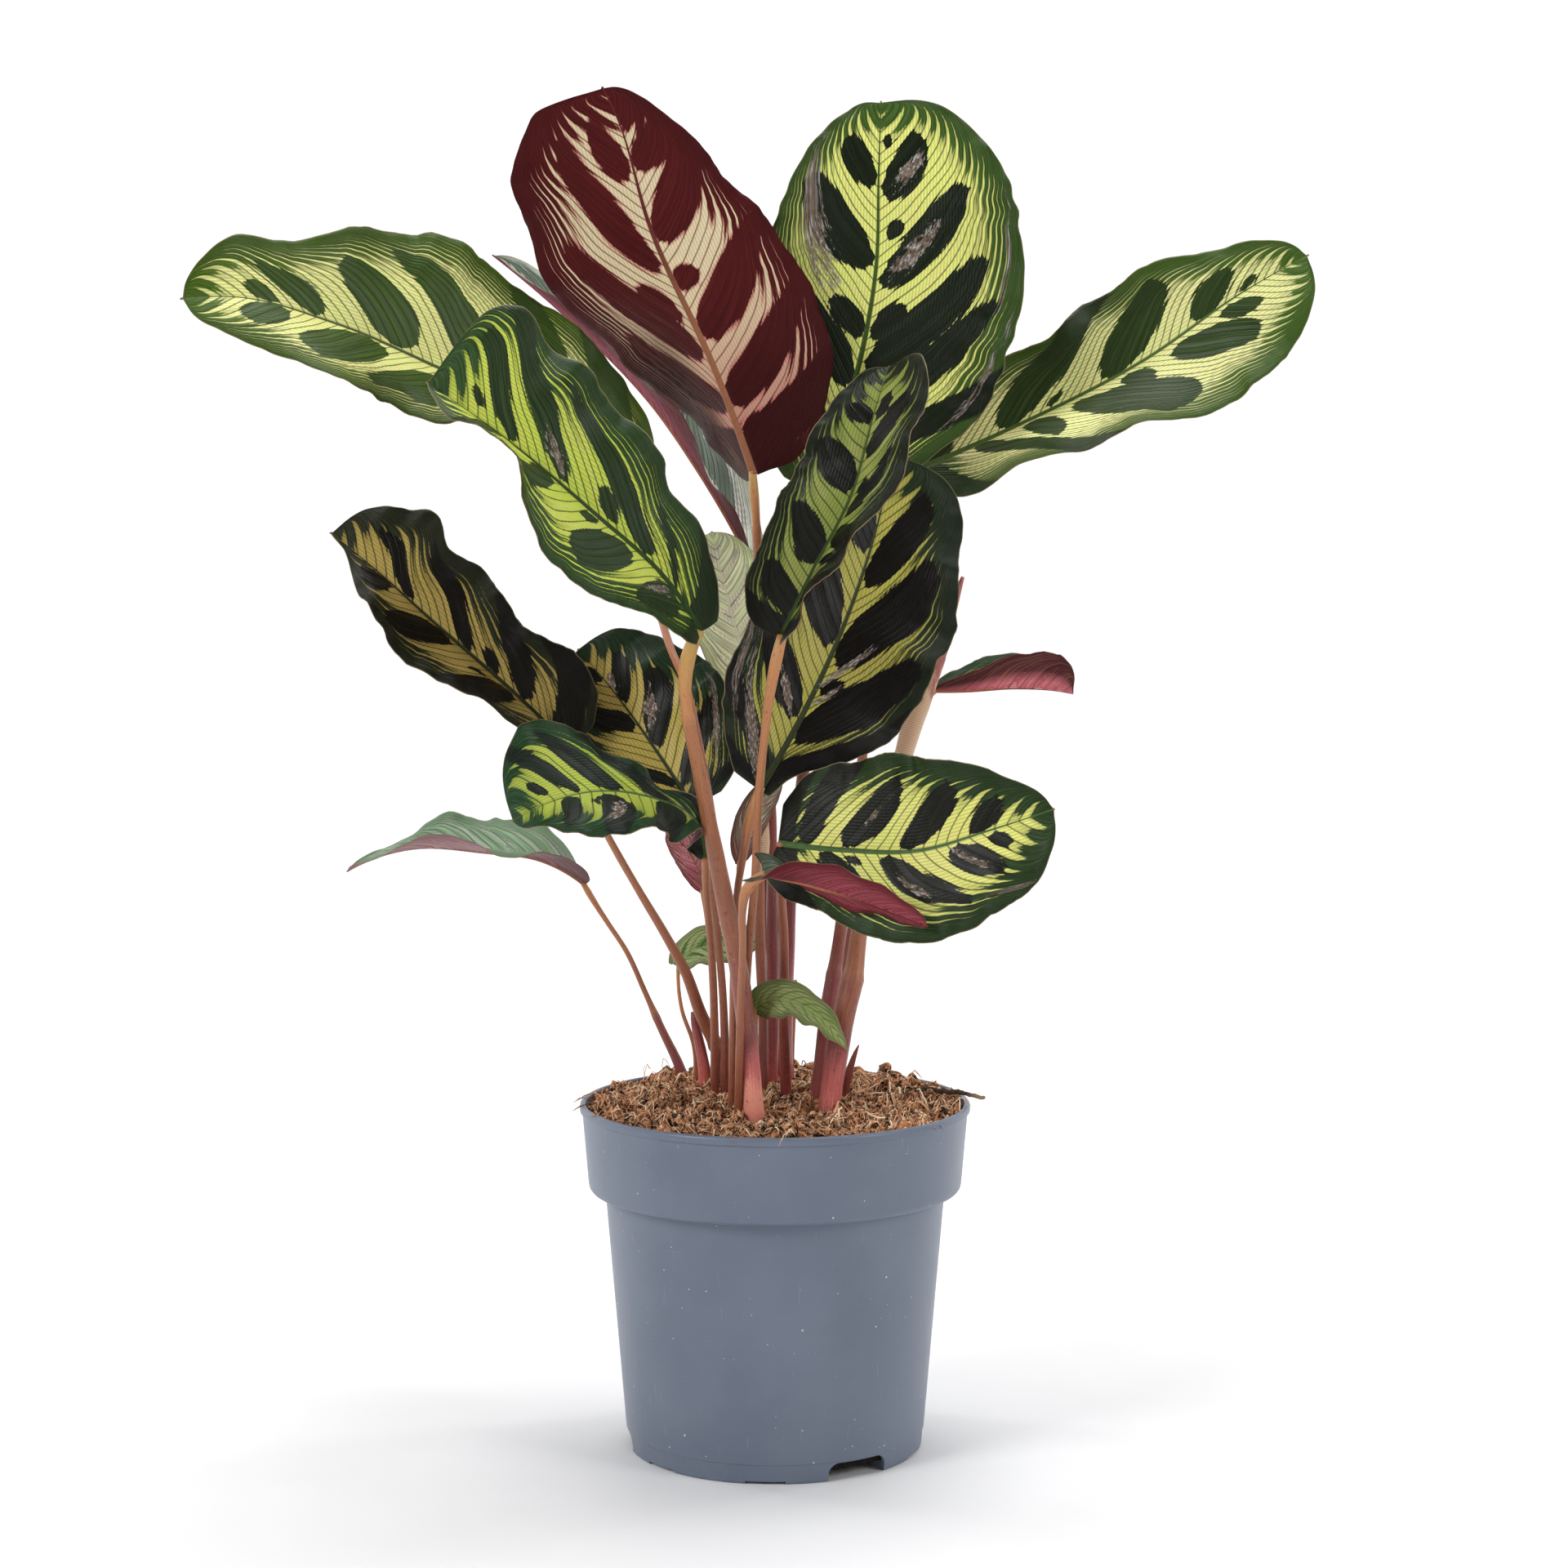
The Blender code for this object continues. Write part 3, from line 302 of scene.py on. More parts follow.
def pattern(sweep, left=(), right=(), margin=((0.8, 0.85, 0.87, 0.8, 0.5),) * 2, base=0.06,
            wear_and_sheen=(), bare=0.0):
    """Markings of a blade, in fractions: t from base to tip, r from midrib to margin.

    sweep: how far a side vein runs towards the tip on its way to the margin, left and right.
    left, right: dark blotches (first and last r, then t and height, each at the first r,
    halfway and at the last r).
    margin: r where each side's dark margin starts, from base to tip; base: t of the dark base.
    wear_and_sheen: weathered spots, and on left_lower a painted sheen (side, t, r, size in t, size
    in r); bare: 1 for no dark margin.
    """
    return dict(sweep=sweep, blotches=(left, right), margin=margin, base=base, wear_and_sheen=wear_and_sheen,
                bare=bare)


def regular_pattern(count, sweep=0.3, reach=0.72, height=0.09, **more):
    """Markings of a blade whose own can't be made out: long and short blotches in turn."""
    sides = []
    for shift in (0.0, 0.4):
        rows = []
        for i in range(count):
            t = 0.08 + 0.82 * (i + shift) / count
            end = t + sweep * reach
            rows.append((0.02, reach, t, t + 0.4 * (end - t), end,
                         height * 0.6, height * 1.3, height * 0.5))
            if i % 2:
                small = t + 0.35 / count
                rows.append((0.03, 0.2, small, small + 0.02, small + 0.05,
                             height / 3, height / 2, height / 4))
        sides.append(rows)
    return pattern((sweep, sweep), *sides, **more)


PATTERNS = {
    "top_left": pattern(
        (0.27, 0.50),
        left=[(0, 1, .93, .95, .93, .13, .11, .14), (0, .95, .81, .835, .885, .065, .085, .1),
              (0, .92, .63, .71, .82, .07, .15, .06), (.01, .23, .5, .503, .5, .05, .055, .04),
              (0, .92, .37, .445, .56, .07, .125, .05), (0, .92, .2, .262, .375, .07, .112, .05),
              (0, 1, .07, .1, .17, .12, .13, .16)],
        right=[(.02, .36, .8, .845, .91, .05, .12, .05), (.04, .66, .56, .72, .89, .07, .165, .05),
               (.08, .36, .43, .475, .5, .05, .085, .06), (.05, .74, .33, .455, .66, .05, .16, .12),
               (.03, .8, .19, .255, .4, .04, .12, .2), (0, 1, .07, .09, .14, .1, .12, .14)],
        margin=((.84, .86, .87, .82, .55), (.93, .92, .9, .85, .6))),
    "top_right": pattern(
        (0.38, 0.42),
        left=[(.02, .575, .79, .835, .875, .05, .095, .05),
              (.02, .85, .59, .675, .77, .05, .15, .06), (.02, .4, .42, .445, .47, .05, .075, .05),
              (.02, .95, .3, .4, .55, .08, .13, .1), (.03, .95, .12, .2, .33, .08, .1, .08)],
        right=[(.04, .13, .885, .887, .89, .03, .03, .03),
               (.03, .46, .765, .82, .88, .06, .125, .06),
               (.06, .19, .655, .665, .67, .035, .04, .03),
               (.03, .68, .54, .645, .755, .05, .12, .07), (.03, .25, .42, .45, .47, .05, .08, .05),
               (.04, .76, .34, .46, .6, .07, .14, .06), (.04, .84, .2, .34, .52, .08, .13, .08),
               (.05, 1, .08, .19, .35, .09, .12, .1)],
        margin=((.85, .94, .99, .97, .74), (.82, .86, .88, .9, .74)),
        wear_and_sheen=[("left", .68, .66, .09, .32), ("right", .81, .26, .03, .16),
              ("right", .61, .25, .03, .2), ("right", .62, .9, .05, .08),
              ("right", .37, .9, .05, .1), ("left", .3, .5, .03, .3)]),
    "right_upper": pattern(
        (0.30, 0.38),
        left=[(.03, .22, .835, .855, .865, .03, .035, .025),
              (0, .58, .735, .775, .825, .06, .095, .04), (0, .82, .49, .59, .68, .06, .16, .05),
              (.06, .2, .335, .35, .37, .02, .03, .02), (.02, .95, .235, .335, .5, .06, .16, .16),
              (0, 1, .05, .09, .2, .06, .1, .12)],
        right=[(.05, .29, .785, .81, .83, .05, .085, .05),
               (.07, .58, .655, .72, .785, .06, .165, .05),
               (.07, .36, .52, .53, .525, .05, .07, .03), (.1, .85, .385, .5, .53, .04, .21, .08),
               (.07, .58, .275, .295, .295, .05, .075, .03), (0, 1, .155, .215, .36, .05, .07, .14),
               (0, 1, .03, .05, .1, .05, .06, .08)],
        margin=((.75, .83, .94, .86, .68), (.88, .98, .95, .88, .6))),
    "left_upper": pattern(
        (0.28, 0.30),
        left=[(0, .52, .82, .845, .865, .05, .09, .03), (.02, .7, .625, .685, .745, .06, .165, .05),
              (.2, .78, .46, .51, .62, .08, .14, .12), (0, .8, .35, .43, .53, .06, .13, .06),
              (0, .9, .2, .28, .4, .07, .12, .1), (0, 1, .07, .12, .22, .08, .1, .1)],
        right=[(.02, .3, .83, .85, .865, .04, .05, .03),
               (.02, .62, .735, .785, .855, .04, .085, .03),
               (.02, .7, .555, .61, .69, .08, .13, .04), (.03, .85, .36, .44, .6, .08, .13, .05),
               (.03, .95, .19, .24, .33, .07, .09, .07), (.03, 1, .07, .1, .17, .08, .1, .12)],
        margin=((.82, .9, .95, .92, .85), (.88, .96, .93, .86, .76))),
    "left_front": pattern(
        (0.24, 0.52),
        left=[(0, .75, .62, .635, .68, .07, .07, .06), (.04, .18, .445, .455, .465, .03, .045, .03),
              (.06, .74, .345, .395, .43, .06, .155, .05),
              (.05, .85, .155, .175, .21, .06, .135, .14), (0, 1, .03, .03, .05, .05, .05, .06),
              (0, .9, .8, .8, .84, .06, .07, .06)],
        right=[(.1, .22, .85, .87, .885, .03, .035, .02), (.03, .75, .73, .85, .93, .05, .075, .03),
               (.04, 1, .56, .74, .9, .06, .1, .06), (.06, .3, .4, .435, .46, .05, .07, .03),
               (.04, .8, .28, .42, .72, .05, .16, .08), (.06, .7, .145, .22, .31, .02, .04, .06),
               (0, 1, .05, .06, .14, .07, .1, .16)],
        margin=((.75, .86, .87, .92, .9), (.75, .8, .8, .85, .98)),
        wear_and_sheen=[("right", .625, .2, .03, .14), ("left", .19, .35, .03, .2)]),
    "left_middle": pattern(
        (0.25, 0.45),
        left=[(0, .6, .765, .8, .8, .05, .1, .05), (.03, .8, .54, .61, .675, .09, .14, .03),
              (.2, .32, .38, .395, .41, .03, .04, .02), (.1, 1, .28, .345, .42, .08, .14, .16),
              (0, 1, .09, .1, .13, .12, .13, .14)],
        right=[(.03, .55, .69, .78, .88, .06, .09, .04), (.02, .85, .45, .58, .74, .05, .11, .06),
               (.04, .3, .345, .375, .395, .04, .055, .03),
               (.03, .92, .225, .315, .44, .05, .12, .1), (0, 1, .05, .1, .22, .1, .14, .2)],
        margin=((.85, .85, .88, .7, .4), (.7, .75, .75, .72, .5))),
    "left_inner": pattern(
        (0.55, 0.50),
        left=[(0, .4, .83, .86, .88, .08, .1, .06), (.02, .6, .54, .61, .69, .1, .14, .08),
              (.03, .75, .16, .29, .42, .08, .12, .12), (0, 1, .05, .06, .16, .08, .1, .14)],
        right=[(0, .5, .67, .755, .84, .09, .13, .06), (.01, .62, .4, .53, .66, .14, .2, .12),
               (.05, .85, .13, .24, .38, .06, .14, .12), (0, 1, .04, .05, .1, .06, .05, .06)],
        margin=((.75, .75, .7, .5, .3), (.8, .85, .75, .6, .4)),
        wear_and_sheen=[("right", .76, .08, .05, .08), ("right", .53, .2, .06, .16),
              ("right", .3, .8, .08, .15)]),
    "left_lower": pattern(
        (0.08, 0.30),
        left=[(0, .85, .77, .775, .815, .05, .065, .02),
              (.14, .3, .65, .665, .675, .015, .025, .01), (.08, .9, .61, .61, .65, .06, .115, .07),
              (.03, .95, .36, .37, .46, .09, .155, .14), (0, 1, .09, .09, .12, .12, .12, .16)],
        right=[(.1, .36, .84, .865, .885, .03, .035, .02), (.03, .95, .72, .83, .9, .06, .055, .03),
               (0, .85, .575, .67, .79, .08, .12, .03), (.03, .9, .38, .44, .6, .1, .14, .12),
               (0, 1, .12, .14, .25, .14, .12, .16)],
        margin=((.72, .75, .76, .76, .62), (.7, .7, .7, .8, .7)),
        # This spot is a painted sheen: a grey reflection drawn as a spot, not weathering.
        wear_and_sheen=[("left", .61, .5, .03, .25)]),
    "centre_front": pattern(
        (0.15, 0.23),
        left=[(0, .65, .79, .805, .81, .04, .065, .03), (0, .85, .575, .615, .68, .07, .14, .05),
              (0, .76, .32, .35, .415, .08, .145, .04), (0, .8, .13, .15, .19, .07, .11, .09),
              (0, 1, .04, .045, .07, .07, .07, .08)],
        right=[(.05, .32, .81, .83, .84, .05, .075, .04), (.04, .68, .68, .755, .84, .05, .13, .05),
               (.14, .3, .555, .57, .575, .02, .035, .02), (.1, .66, .49, .555, .68, .04, .1, .06),
               (.1, .85, .4, .415, .43, .06, .085, .08), (.2, .8, .3, .335, .37, .03, .04, .04),
               (0, .9, .16, .2, .28, .07, .1, .08), (0, 1, .04, .05, .1, .07, .08, .1)],
        margin=((.85, .93, .93, .85, .5), (.8, .82, .84, .82, .75))),
    "centre": pattern(
        (0.31, 0.50),
        left=[(0, .6, .76, .81, .86, .1, .16, .08), (.02, .8, .47, .57, .67, .1, .19, .1),
              (.04, .85, .235, .31, .4, .06, .12, .08), (.1, 1, .06, .13, .24, .05, .09, .1),
              (0, 1, .02, .03, .06, .03, .03, .05)],
        right=[(.02, .62, .66, .77, .87, .1, .18, .1), (.02, .78, .44, .56, .7, .12, .22, .13),
               (.05, .26, .32, .335, .35, .03, .045, .02), (.02, .88, .2, .3, .45, .07, .2, .13),
               (0, 1, .06, .09, .25, .08, .14, .28)],
        margin=((.8, .8, .7, .6, .4), (.85, .84, .86, .72, .42)),
        wear_and_sheen=[("left", .11, .5, .05, .4), ("left", .27, .3, .025, .22), ("left", .3, .92, .08, .12),
              ("right", .4, .2, .02, .2), ("right", .31, .15, .015, .1)]),
    "right_lower": pattern(
        (0.34, 0.34),
        left=[(0, .5, .74, .785, .83, .06, .095, .04), (.02, .72, .48, .6, .69, .08, .155, .04),
              (.03, .78, .265, .36, .45, .06, .15, .04), (.04, 1, .11, .15, .24, .06, .11, .12),
              (0, 1, .04, .04, .07, .06, .06, .1)],
        right=[(.05, .3, .79, .805, .825, .04, .06, .02), (.05, .6, .66, .715, .79, .08, .12, .03),
               (.04, .72, .415, .52, .66, .06, .13, .05), (.08, .2, .28, .295, .31, .03, .04, .02),
               (.03, .72, .19, .275, .42, .04, .14, .1), (0, 1, .05, .06, .14, .08, .1, .16)],
        margin=((.75, .8, .85, .68, .35), (.85, .85, .85, .8, .35)),
        wear_and_sheen=[("left", .35, .38, .02, .1), ("right", .7, .28, .02, .2),
              ("right", .5, .38, .02, .15), ("right", .81, .85, .05, .12)]),
    "folded_front": regular_pattern(6, reach=0.7, height=0.06, bare=1.0),
    "left_trailing": regular_pattern(7, sweep=0.25, reach=0.85, height=0.07),
    "right_small": regular_pattern(5, sweep=0.25),
    "back_upper": regular_pattern(7),
    "back_inner": regular_pattern(5),
    "young_front": pattern((0.3, 0.3), bare=1.0, base=0.0),
    "young_back": regular_pattern(4, reach=0.5, height=0.06, bare=1.0),
    "pink_small": regular_pattern(4, reach=0.6, height=0.05, bare=1.0),
    "pale_inner": regular_pattern(4, reach=0.5, height=0.05, bare=1.0),
}


def colours(light, dark, margin, rib, under_light=(206, 160, 140), under_dark=(96, 32, 42)):
    """Colours of a blade's markings above and below, as 0 to 255 display values."""
    rows = dict(light=light, dark=dark, margin=margin, rib=rib, under_light=under_light,
                under_dark=under_dark)
    return {key: np.array(value) for key, value in rows.items()}


# The light colours of top_right, right_upper, left_upper, left_front and right_lower are partly
# their own pale green and partly painted light: they are raised to stand in for light shining
# through the blades.
COLOURS = {
    "top_left": colours(
        (200, 212, 110), (14, 22, 12), (34, 48, 22), (80, 100, 45), (232, 218, 178), (72, 18, 18)),
    "top_right": colours((238, 244, 132), (16, 24, 8), (48, 70, 24), (62, 84, 30)),
    "right_upper": colours((244, 248, 162), (38, 54, 20), (56, 80, 24), (84, 106, 52)),
    "left_upper": colours((250, 254, 158), (50, 70, 22), (58, 80, 18), (84, 100, 58)),
    "left_front": colours((206, 222, 88), (36, 50, 26), (40, 60, 30), (52, 74, 36)),
    "left_middle": colours((184, 164, 84), (14, 13, 7), (30, 34, 20), (48, 54, 32)),
    "left_inner": colours((196, 178, 90), (16, 18, 12), (26, 42, 24), (42, 56, 32)),
    "left_lower": colours((178, 196, 78), (22, 30, 22), (28, 52, 28), (74, 100, 50)),
    "centre_front": colours((142, 156, 72), (14, 14, 8), (22, 28, 16), (58, 76, 34)),
    "centre": colours((180, 176, 80), (9, 7, 3), (24, 34, 18), (54, 60, 36)),
    "right_lower": colours((240, 242, 130), (20, 22, 14), (34, 50, 24), (76, 104, 56)),
    "folded_front": colours(
        (74, 90, 70), (44, 60, 48), (44, 60, 48), (90, 104, 80), (152, 78, 86), (126, 58, 66)),
    "left_trailing": colours(
        (164, 180, 158), (104, 128, 100), (96, 122, 90), (134, 150, 126), (190, 162, 158),
        (150, 118, 120)),
    # Painted light: right_small's under side colours are lighter than its own, to make up for the
    # shade on its down-facing side.
    "right_small": colours(
        (104, 130, 74), (24, 44, 26), (34, 58, 32), (90, 110, 70), (226, 150, 150),
        (186, 104, 110)),
    "back_upper": colours(
        (242, 244, 234), (96, 108, 96), (180, 188, 172), (170, 178, 160), (178, 118, 122),
        (134, 72, 82)),
    # Painted light: back_inner is lightened to make up for the shade that the leaves in front cast
    # on it.
    "back_inner": colours((242, 244, 214), (196, 206, 166), (184, 198, 150), (222, 226, 190)),
    "young_front": colours(
        (134, 152, 88), (84, 110, 60), (96, 124, 66), (130, 152, 80), (140, 156, 94),
        (116, 136, 78)),
    "young_back": colours(
        (150, 168, 108), (74, 100, 56), (90, 114, 68), (130, 150, 90), (160, 172, 118),
        (130, 140, 88)),
    "pink_small": colours(
        (170, 150, 120), (120, 90, 80), (130, 100, 90), (150, 110, 96), (204, 156, 154),
        (172, 112, 118)),
    "pale_inner": colours(
        (160, 170, 130), (100, 116, 90), (110, 126, 96), (140, 150, 110), (180, 182, 154),
        (134, 138, 112)),
}

SLOTS = {
    "leaf_burgundy": ("top_left", "folded_front", "right_small"),
    "leaf_silver": ("left_trailing", "back_upper", "back_inner"),
    "leaf_olive": ("left_middle", "centre"),
    "leaf_pale": ("young_front", "young_back", "pale_inner"),
    "leaf_pink": ("pink_small", "rolled_tall", "rolled_short"),
}
OTHER_SLOT = "leaf_green"

# Young leaves still rolled up: path from base to tip, mm, and radius along it, mm
ROLLED_LEAVES = {
    "rolled_tall": dict(path=[(42, 12, 227), (48, 15, 248), (55, 18, 267), (63, 20, 290)],
                        radius=(3.1, 4.0, 3.4, 0.6)),
    "rolled_short": dict(path=[(-5, 13, 190), (-5, 12, 201), (-5, 11, 215), (-3, 10, 231)],
                         radius=(2.4, 3.2, 2.6, 0.8)),
}


def stem(path, radius, joint=None, tone=(0.1, 0.75), swollen=0.014, blush=0.0):
    """A leaf stem: path from the soil to the blade and radius along it, mm.

    joint: height of the sheath's end; tone: 0 maroon to 1 orange-brown at foot and top.
    swollen: length of the swollen joint under the blade; blush: 1 for a pale pink foot.
    """
    return dict(path=np.array(path, float) * MM, radius=np.array(radius, float) * MM,
                joint=joint, tone=tone, swollen=swollen, blush=blush)


STEMS = {
    "top_left": stem(
        [(-2, 22, 112), (-1, 22, 139), (-1, 22, 167), (-1, 20, 187), (-1, 18, 209), (-3, 16, 237),
         (-5, 14, 265), (-6, 12, 305)],
        (2.6, 2.4, 2.0, 1.7, 1.5, 1.4, 1.4, 1.5), 0.306, (-0.1, 0.9)),
    "top_right": stem(
        [(3, 31, 112), (3, 31, 138), (4, 30, 166), (5, 30, 186), (8, 30, 208), (10, 29, 228),
         (12, 28, 258), (14, 28, 292)],
        (3.2, 3.1, 2.9, 2.6, 2.3, 2.0, 1.7, 1.6), 0.262, (-0.15, 0.6)),
    "right_upper": stem(
        [(13, 0, 111), (16, 3, 131), (18, 6, 147), (20, 9, 158), (22, 12, 171), (25, 19, 195),
         (30, 28, 231), (36, 34, 269), (43, 39, 305)],
        (2.3, 2.6, 2.7, 2.6, 2.4, 2.1, 1.8, 1.6, 1.5), 0.158, (0.05, 0.4)),
    "left_upper": stem(
        [(-5, -21, 110), (-9, -26, 152), (-15, -33, 188), (-19, -38, 209), (-22, -43, 228),
         (-25, -44, 244), (-28, -43, 257), (-33, -34, 268), (-37, -20, 279), (-43, 0, 303)],
        (1.7, 1.6, 1.5, 1.4, 1.4, 1.3, 1.3, 1.3, 1.3, 1.4), None, (0.3, 0.85)),
    "left_front": stem(
        [(-6, -29, 109), (-8, -31, 134), (-11, -34, 162), (-16, -39, 189), (-20, -43, 210),
         (-24, -47, 231), (-27, -50, 247), (-28, -51, 257), (-27, -52, 266)],
        (3.4, 3.2, 3.0, 2.9, 2.5, 2.2, 1.9, 2.1, 2.2), 0.247, (0.1, 1.0), 0.019, 1.1),
    "left_middle": stem(
        [(-14, 20, 112), (-18, 18, 127), (-25, 14, 143), (-30, 9, 158), (-36, 5, 170),
         (-46, 0, 188), (-56, -5, 207), (-62, -8, 220)],
        (2.9, 2.7, 2.4, 2.0, 1.7, 1.4, 1.3, 1.3), 0.132, (0.15, 0.7)),
    "left_inner": stem(
        [(-17, 10, 112), (-17, 8, 141), (-19, 4, 170), (-21, 0, 187), (-23, -4, 201)],
        (1.5, 1.4, 1.3, 1.2, 1.2), None, (0.2, 0.7)),
    "left_lower": stem(
        [(-20, 4, 112), (-20, -4, 143), (-21, -14, 172), (-22, -22, 187)],
        (1.6, 1.4, 1.3, 1.2), None, (0.2, 0.7)),
    "centre_front": stem(
        [(-10, -19, 110), (-10, -20, 147), (-8, -30, 175), (-6, -42, 197), (-5, -48, 221),
         (-3, -51, 242), (-1, -52, 257)],
        (1.6, 1.5, 1.4, 1.4, 1.4, 1.4, 1.7), None, (0.3, 0.95)),
    "centre": stem(
        [(-14, -15, 110), (-13.5, -22, 146), (-13, -27, 174), (-12, -30, 190), (-10, -34, 202),
         (-8, -37, 213)],
        (1.6, 1.4, 1.2, 1.2, 1.3, 1.6), None, (0.3, 0.8)),
    "right_lower": stem(
        [(4, 6, 112), (3, -4, 143), (3, -18, 173), (2, -33, 193)],
        (2.0, 1.8, 1.6, 1.4), None, (0.1, 0.5)),
    "folded_front": stem(
        [(-12, -27, 110), (-11, -40, 149), (-10, -52, 177), (-10, -56, 187), (-9, -58, 193)],
        (1.4, 1.3, 1.2, 1.3, 1.5), None, (0.3, 0.7)),
    "left_trailing": stem(
        [(-30, 40, 112), (-34, 42, 122), (-39, 44, 132), (-45, 46, 145), (-52, 48, 160),
         (-58, 49, 169), (-62, 50, 175)],
        (1.9, 1.7, 1.4, 1.1, 1.0, 1.0, 1.1), 0.138, (0.1, 0.7), 0.008),
    "right_small": stem(
        [(16, 11, 112), (20, 16, 140), (25, 24, 167), (32, 32, 194), (40, 39, 221), (48, 46, 243)],
        (1.5, 1.5, 1.3, 1.2, 1.1, 1.1), None, (0.1, 0.6)),
    "back_upper": stem(
        [(-4, 39, 114), (-4, 44, 164), (-4, 50, 206), (-6, 56, 248), (-8, 59, 280)],
        (1.6, 1.5, 1.4, 1.3, 1.4), None, (0.1, 0.7)),
    "back_inner": stem(
        [(2, 45, 114), (1, 45, 165), (-2, 43, 207)],
        (1.2, 1.1, 1.0), None, (0.1, 0.7)),
    "young_front": stem([(-4, -13, 112), (-6, -17, 135)], (0.9, 0.8), None, (0.3, 1.1), 0.004),
    "young_back": stem(
        [(-27, 30, 112), (-28, 30, 130), (-32, 30, 142)],
        (0.9, 0.8, 0.7), None, (0.3, 1.1), 0.004),
    "pink_small": stem(
        [(-21, 10, 112), (-21, 9, 141), (-22, 7, 169)],
        (0.9, 0.8, 0.8), None, (0.3, 0.8), 0.004),
    "pale_inner": stem(
        [(-10, -6, 112), (-11, -4, 143), (-12, -1, 170)],
        (1.1, 1.0, 0.9), None, (0.3, 0.8), 0.005),
    "rolled_tall": stem(
        [(17, -17, 110), (20, -14, 131), (23, -11, 147), (26, -8, 159), (28, -4, 173),
         (34, 4, 197)],
        (3.4, 3.7, 3.7, 3.6, 3.1, 3.0), 0.159, (0.3, 0.6), 0.0, 0.75),
    "rolled_short": stem(
        [(-4, 8, 112), (-4, 10, 141), (-5, 12, 168)],
        (1.8, 1.7, 1.8), None, (0.1, 0.5), 0.0),
}

# Side shoots that carry no leaf yet
SHOOTS = {
    "shoot_left": stem(
        [(-24, 18, 112), (-24, 18, 123), (-26, 18, 134), (-28, 18, 143)],
        (2.2, 2.2, 1.8, 1.2), None, (0.0, 0.2), 0.0, 0.5),
    "shoot_centre": stem(
        [(5, 38, 114), (6, 38, 137), (7, 38, 151)],
        (1.3, 1.2, 1.1), None, (0.1, 1.1), 0.0),
    "shoot_right": stem(
        [(24, 5, 112), (24, 5, 120), (25, 5, 125), (28, 4, 134)],
        (1.0, 1.2, 1.4, 0.5), None, (-0.1, 0.4), 0.0),
}

ROOT_TWIG = stem([(38, 6, 114), (50, 3, 119), (60, -2, 119), (70, -5, 118)],
                 (1.0, 0.9, 0.8, 0.6))


# Curves and surfaces shared with the part


def along(values, t):
    """Smooth curve through evenly spaced values (or rows), read at t from 0 to 1."""
    rows = np.atleast_1d(np.asarray(values, float))
    last = len(rows) - 1
    if last == 0:
        return np.repeat(rows, len(t), axis=0)
    place = np.clip(t, 0, 1) * last
    i = np.minimum(place.astype(int), last - 1)
    f = place - i
    if rows.ndim == 2:
        f = f[:, None]
    padded = np.concatenate([[2 * rows[0] - rows[1]], rows, [2 * rows[-1] - rows[-2]]])
    a, b, c, d = padded[i], padded[i + 1], padded[i + 2], padded[i + 3]
    return 0.5 * (2 * b + (c - a) * f + (2 * a - 5 * b + 4 * c - d) * f ** 2
                  + (3 * b - a - 3 * c + d) * f ** 3)


def either(pair, v):
    """The first of a pair on a blade's left side, where v is negative, else the second."""
    return np.where(v < 0, pair[0], pair[1])


def either_along(pair, t, v):
    """The same for a pair of rows of values that are read along the blade."""
    return either([along(row, t) for row in pair], v)


def lengths(points):
    """Length from the first point to each point, straight from one to the next."""
    return np.concatenate([[0], np.cumsum(np.linalg.norm(np.diff(points, axis=0), axis=1))])


def smooth_path(points, count=400):
    """Fine points on a smooth curve through the points, and the length up to each."""
    points = np.asarray(points, float)
    chord = np.linalg.norm(np.diff(points, axis=0), axis=1)
    knots = lengths(points)
    slope = np.zeros_like(points)
    rise = np.diff(points, axis=0) / chord[:, None]
    before, after = chord[:-1, None], chord[1:, None]
    slope[1:-1] = (rise[:-1] * after + rise[1:] * before) / (before + after)
    slope[0] = 2 * rise[0] - slope[1]
    slope[-1] = 2 * rise[-1] - slope[-2]
    u = np.linspace(0, knots[-1], count)
    k = np.clip(np.searchsorted(knots, u, side="right") - 1, 0, len(points) - 2)
    h = chord[k][:, None]
    s = (u - knots[k])[:, None] / h
    fine = ((2 * s ** 3 - 3 * s ** 2 + 1) * points[k] + (s ** 3 - 2 * s ** 2 + s) * h * slope[k]
            + (3 * s ** 2 - 2 * s ** 3) * points[k + 1] + (s ** 3 - s ** 2) * h * slope[k + 1])
    return fine, lengths(fine)


def path_points(points, t):
    """Points at fractions t of the length of the smooth curve through the points."""
    fine, length = smooth_path(points)
    return np.stack([np.interp(t * length[-1], length, fine[:, axis]) for axis in range(3)], -1)


def unit(vectors):
    """Rows scaled to length one."""
    return vectors / np.linalg.norm(vectors, axis=-1, keepdims=True)


def blade_outline(t, spec):
    """Half width of a blade as a fraction of its widest, with a small pointed tip."""
    at_base, at_tip = spec["ends"]
    inner = np.clip(t / 0.992, 0, 1)
    peak = at_base / (at_base + at_tip)
    widest = peak ** at_base * (1 - peak) ** at_tip
    body = inner ** at_base * (1 - inner) ** at_tip / widest
    point = (0.05 + spec["drip"]) * np.clip((1 - t) / 0.035, 0, 1) * np.clip(t / 0.1, 0, 1)
    return np.sqrt(body ** 2 + point ** 2)


def blade_width(spec, t, v):
    """Half width of the blade on the side of v, in metres."""
    outline = blade_outline(t, spec)
    width = either_along(spec["width"], t, v) * outline
    width = (width + either_along(spec["trim"], t, v) * np.clip(2 * outline, 0, 1)) * MM
    width = width * (1 + 0.02 * wobble(5 * t + either((2.3, 0.0), v), spec["seed"]))
    return np.maximum(width, MIDRIB_HALF_WIDTH * np.clip(1.2 - t, 0.25, 1))


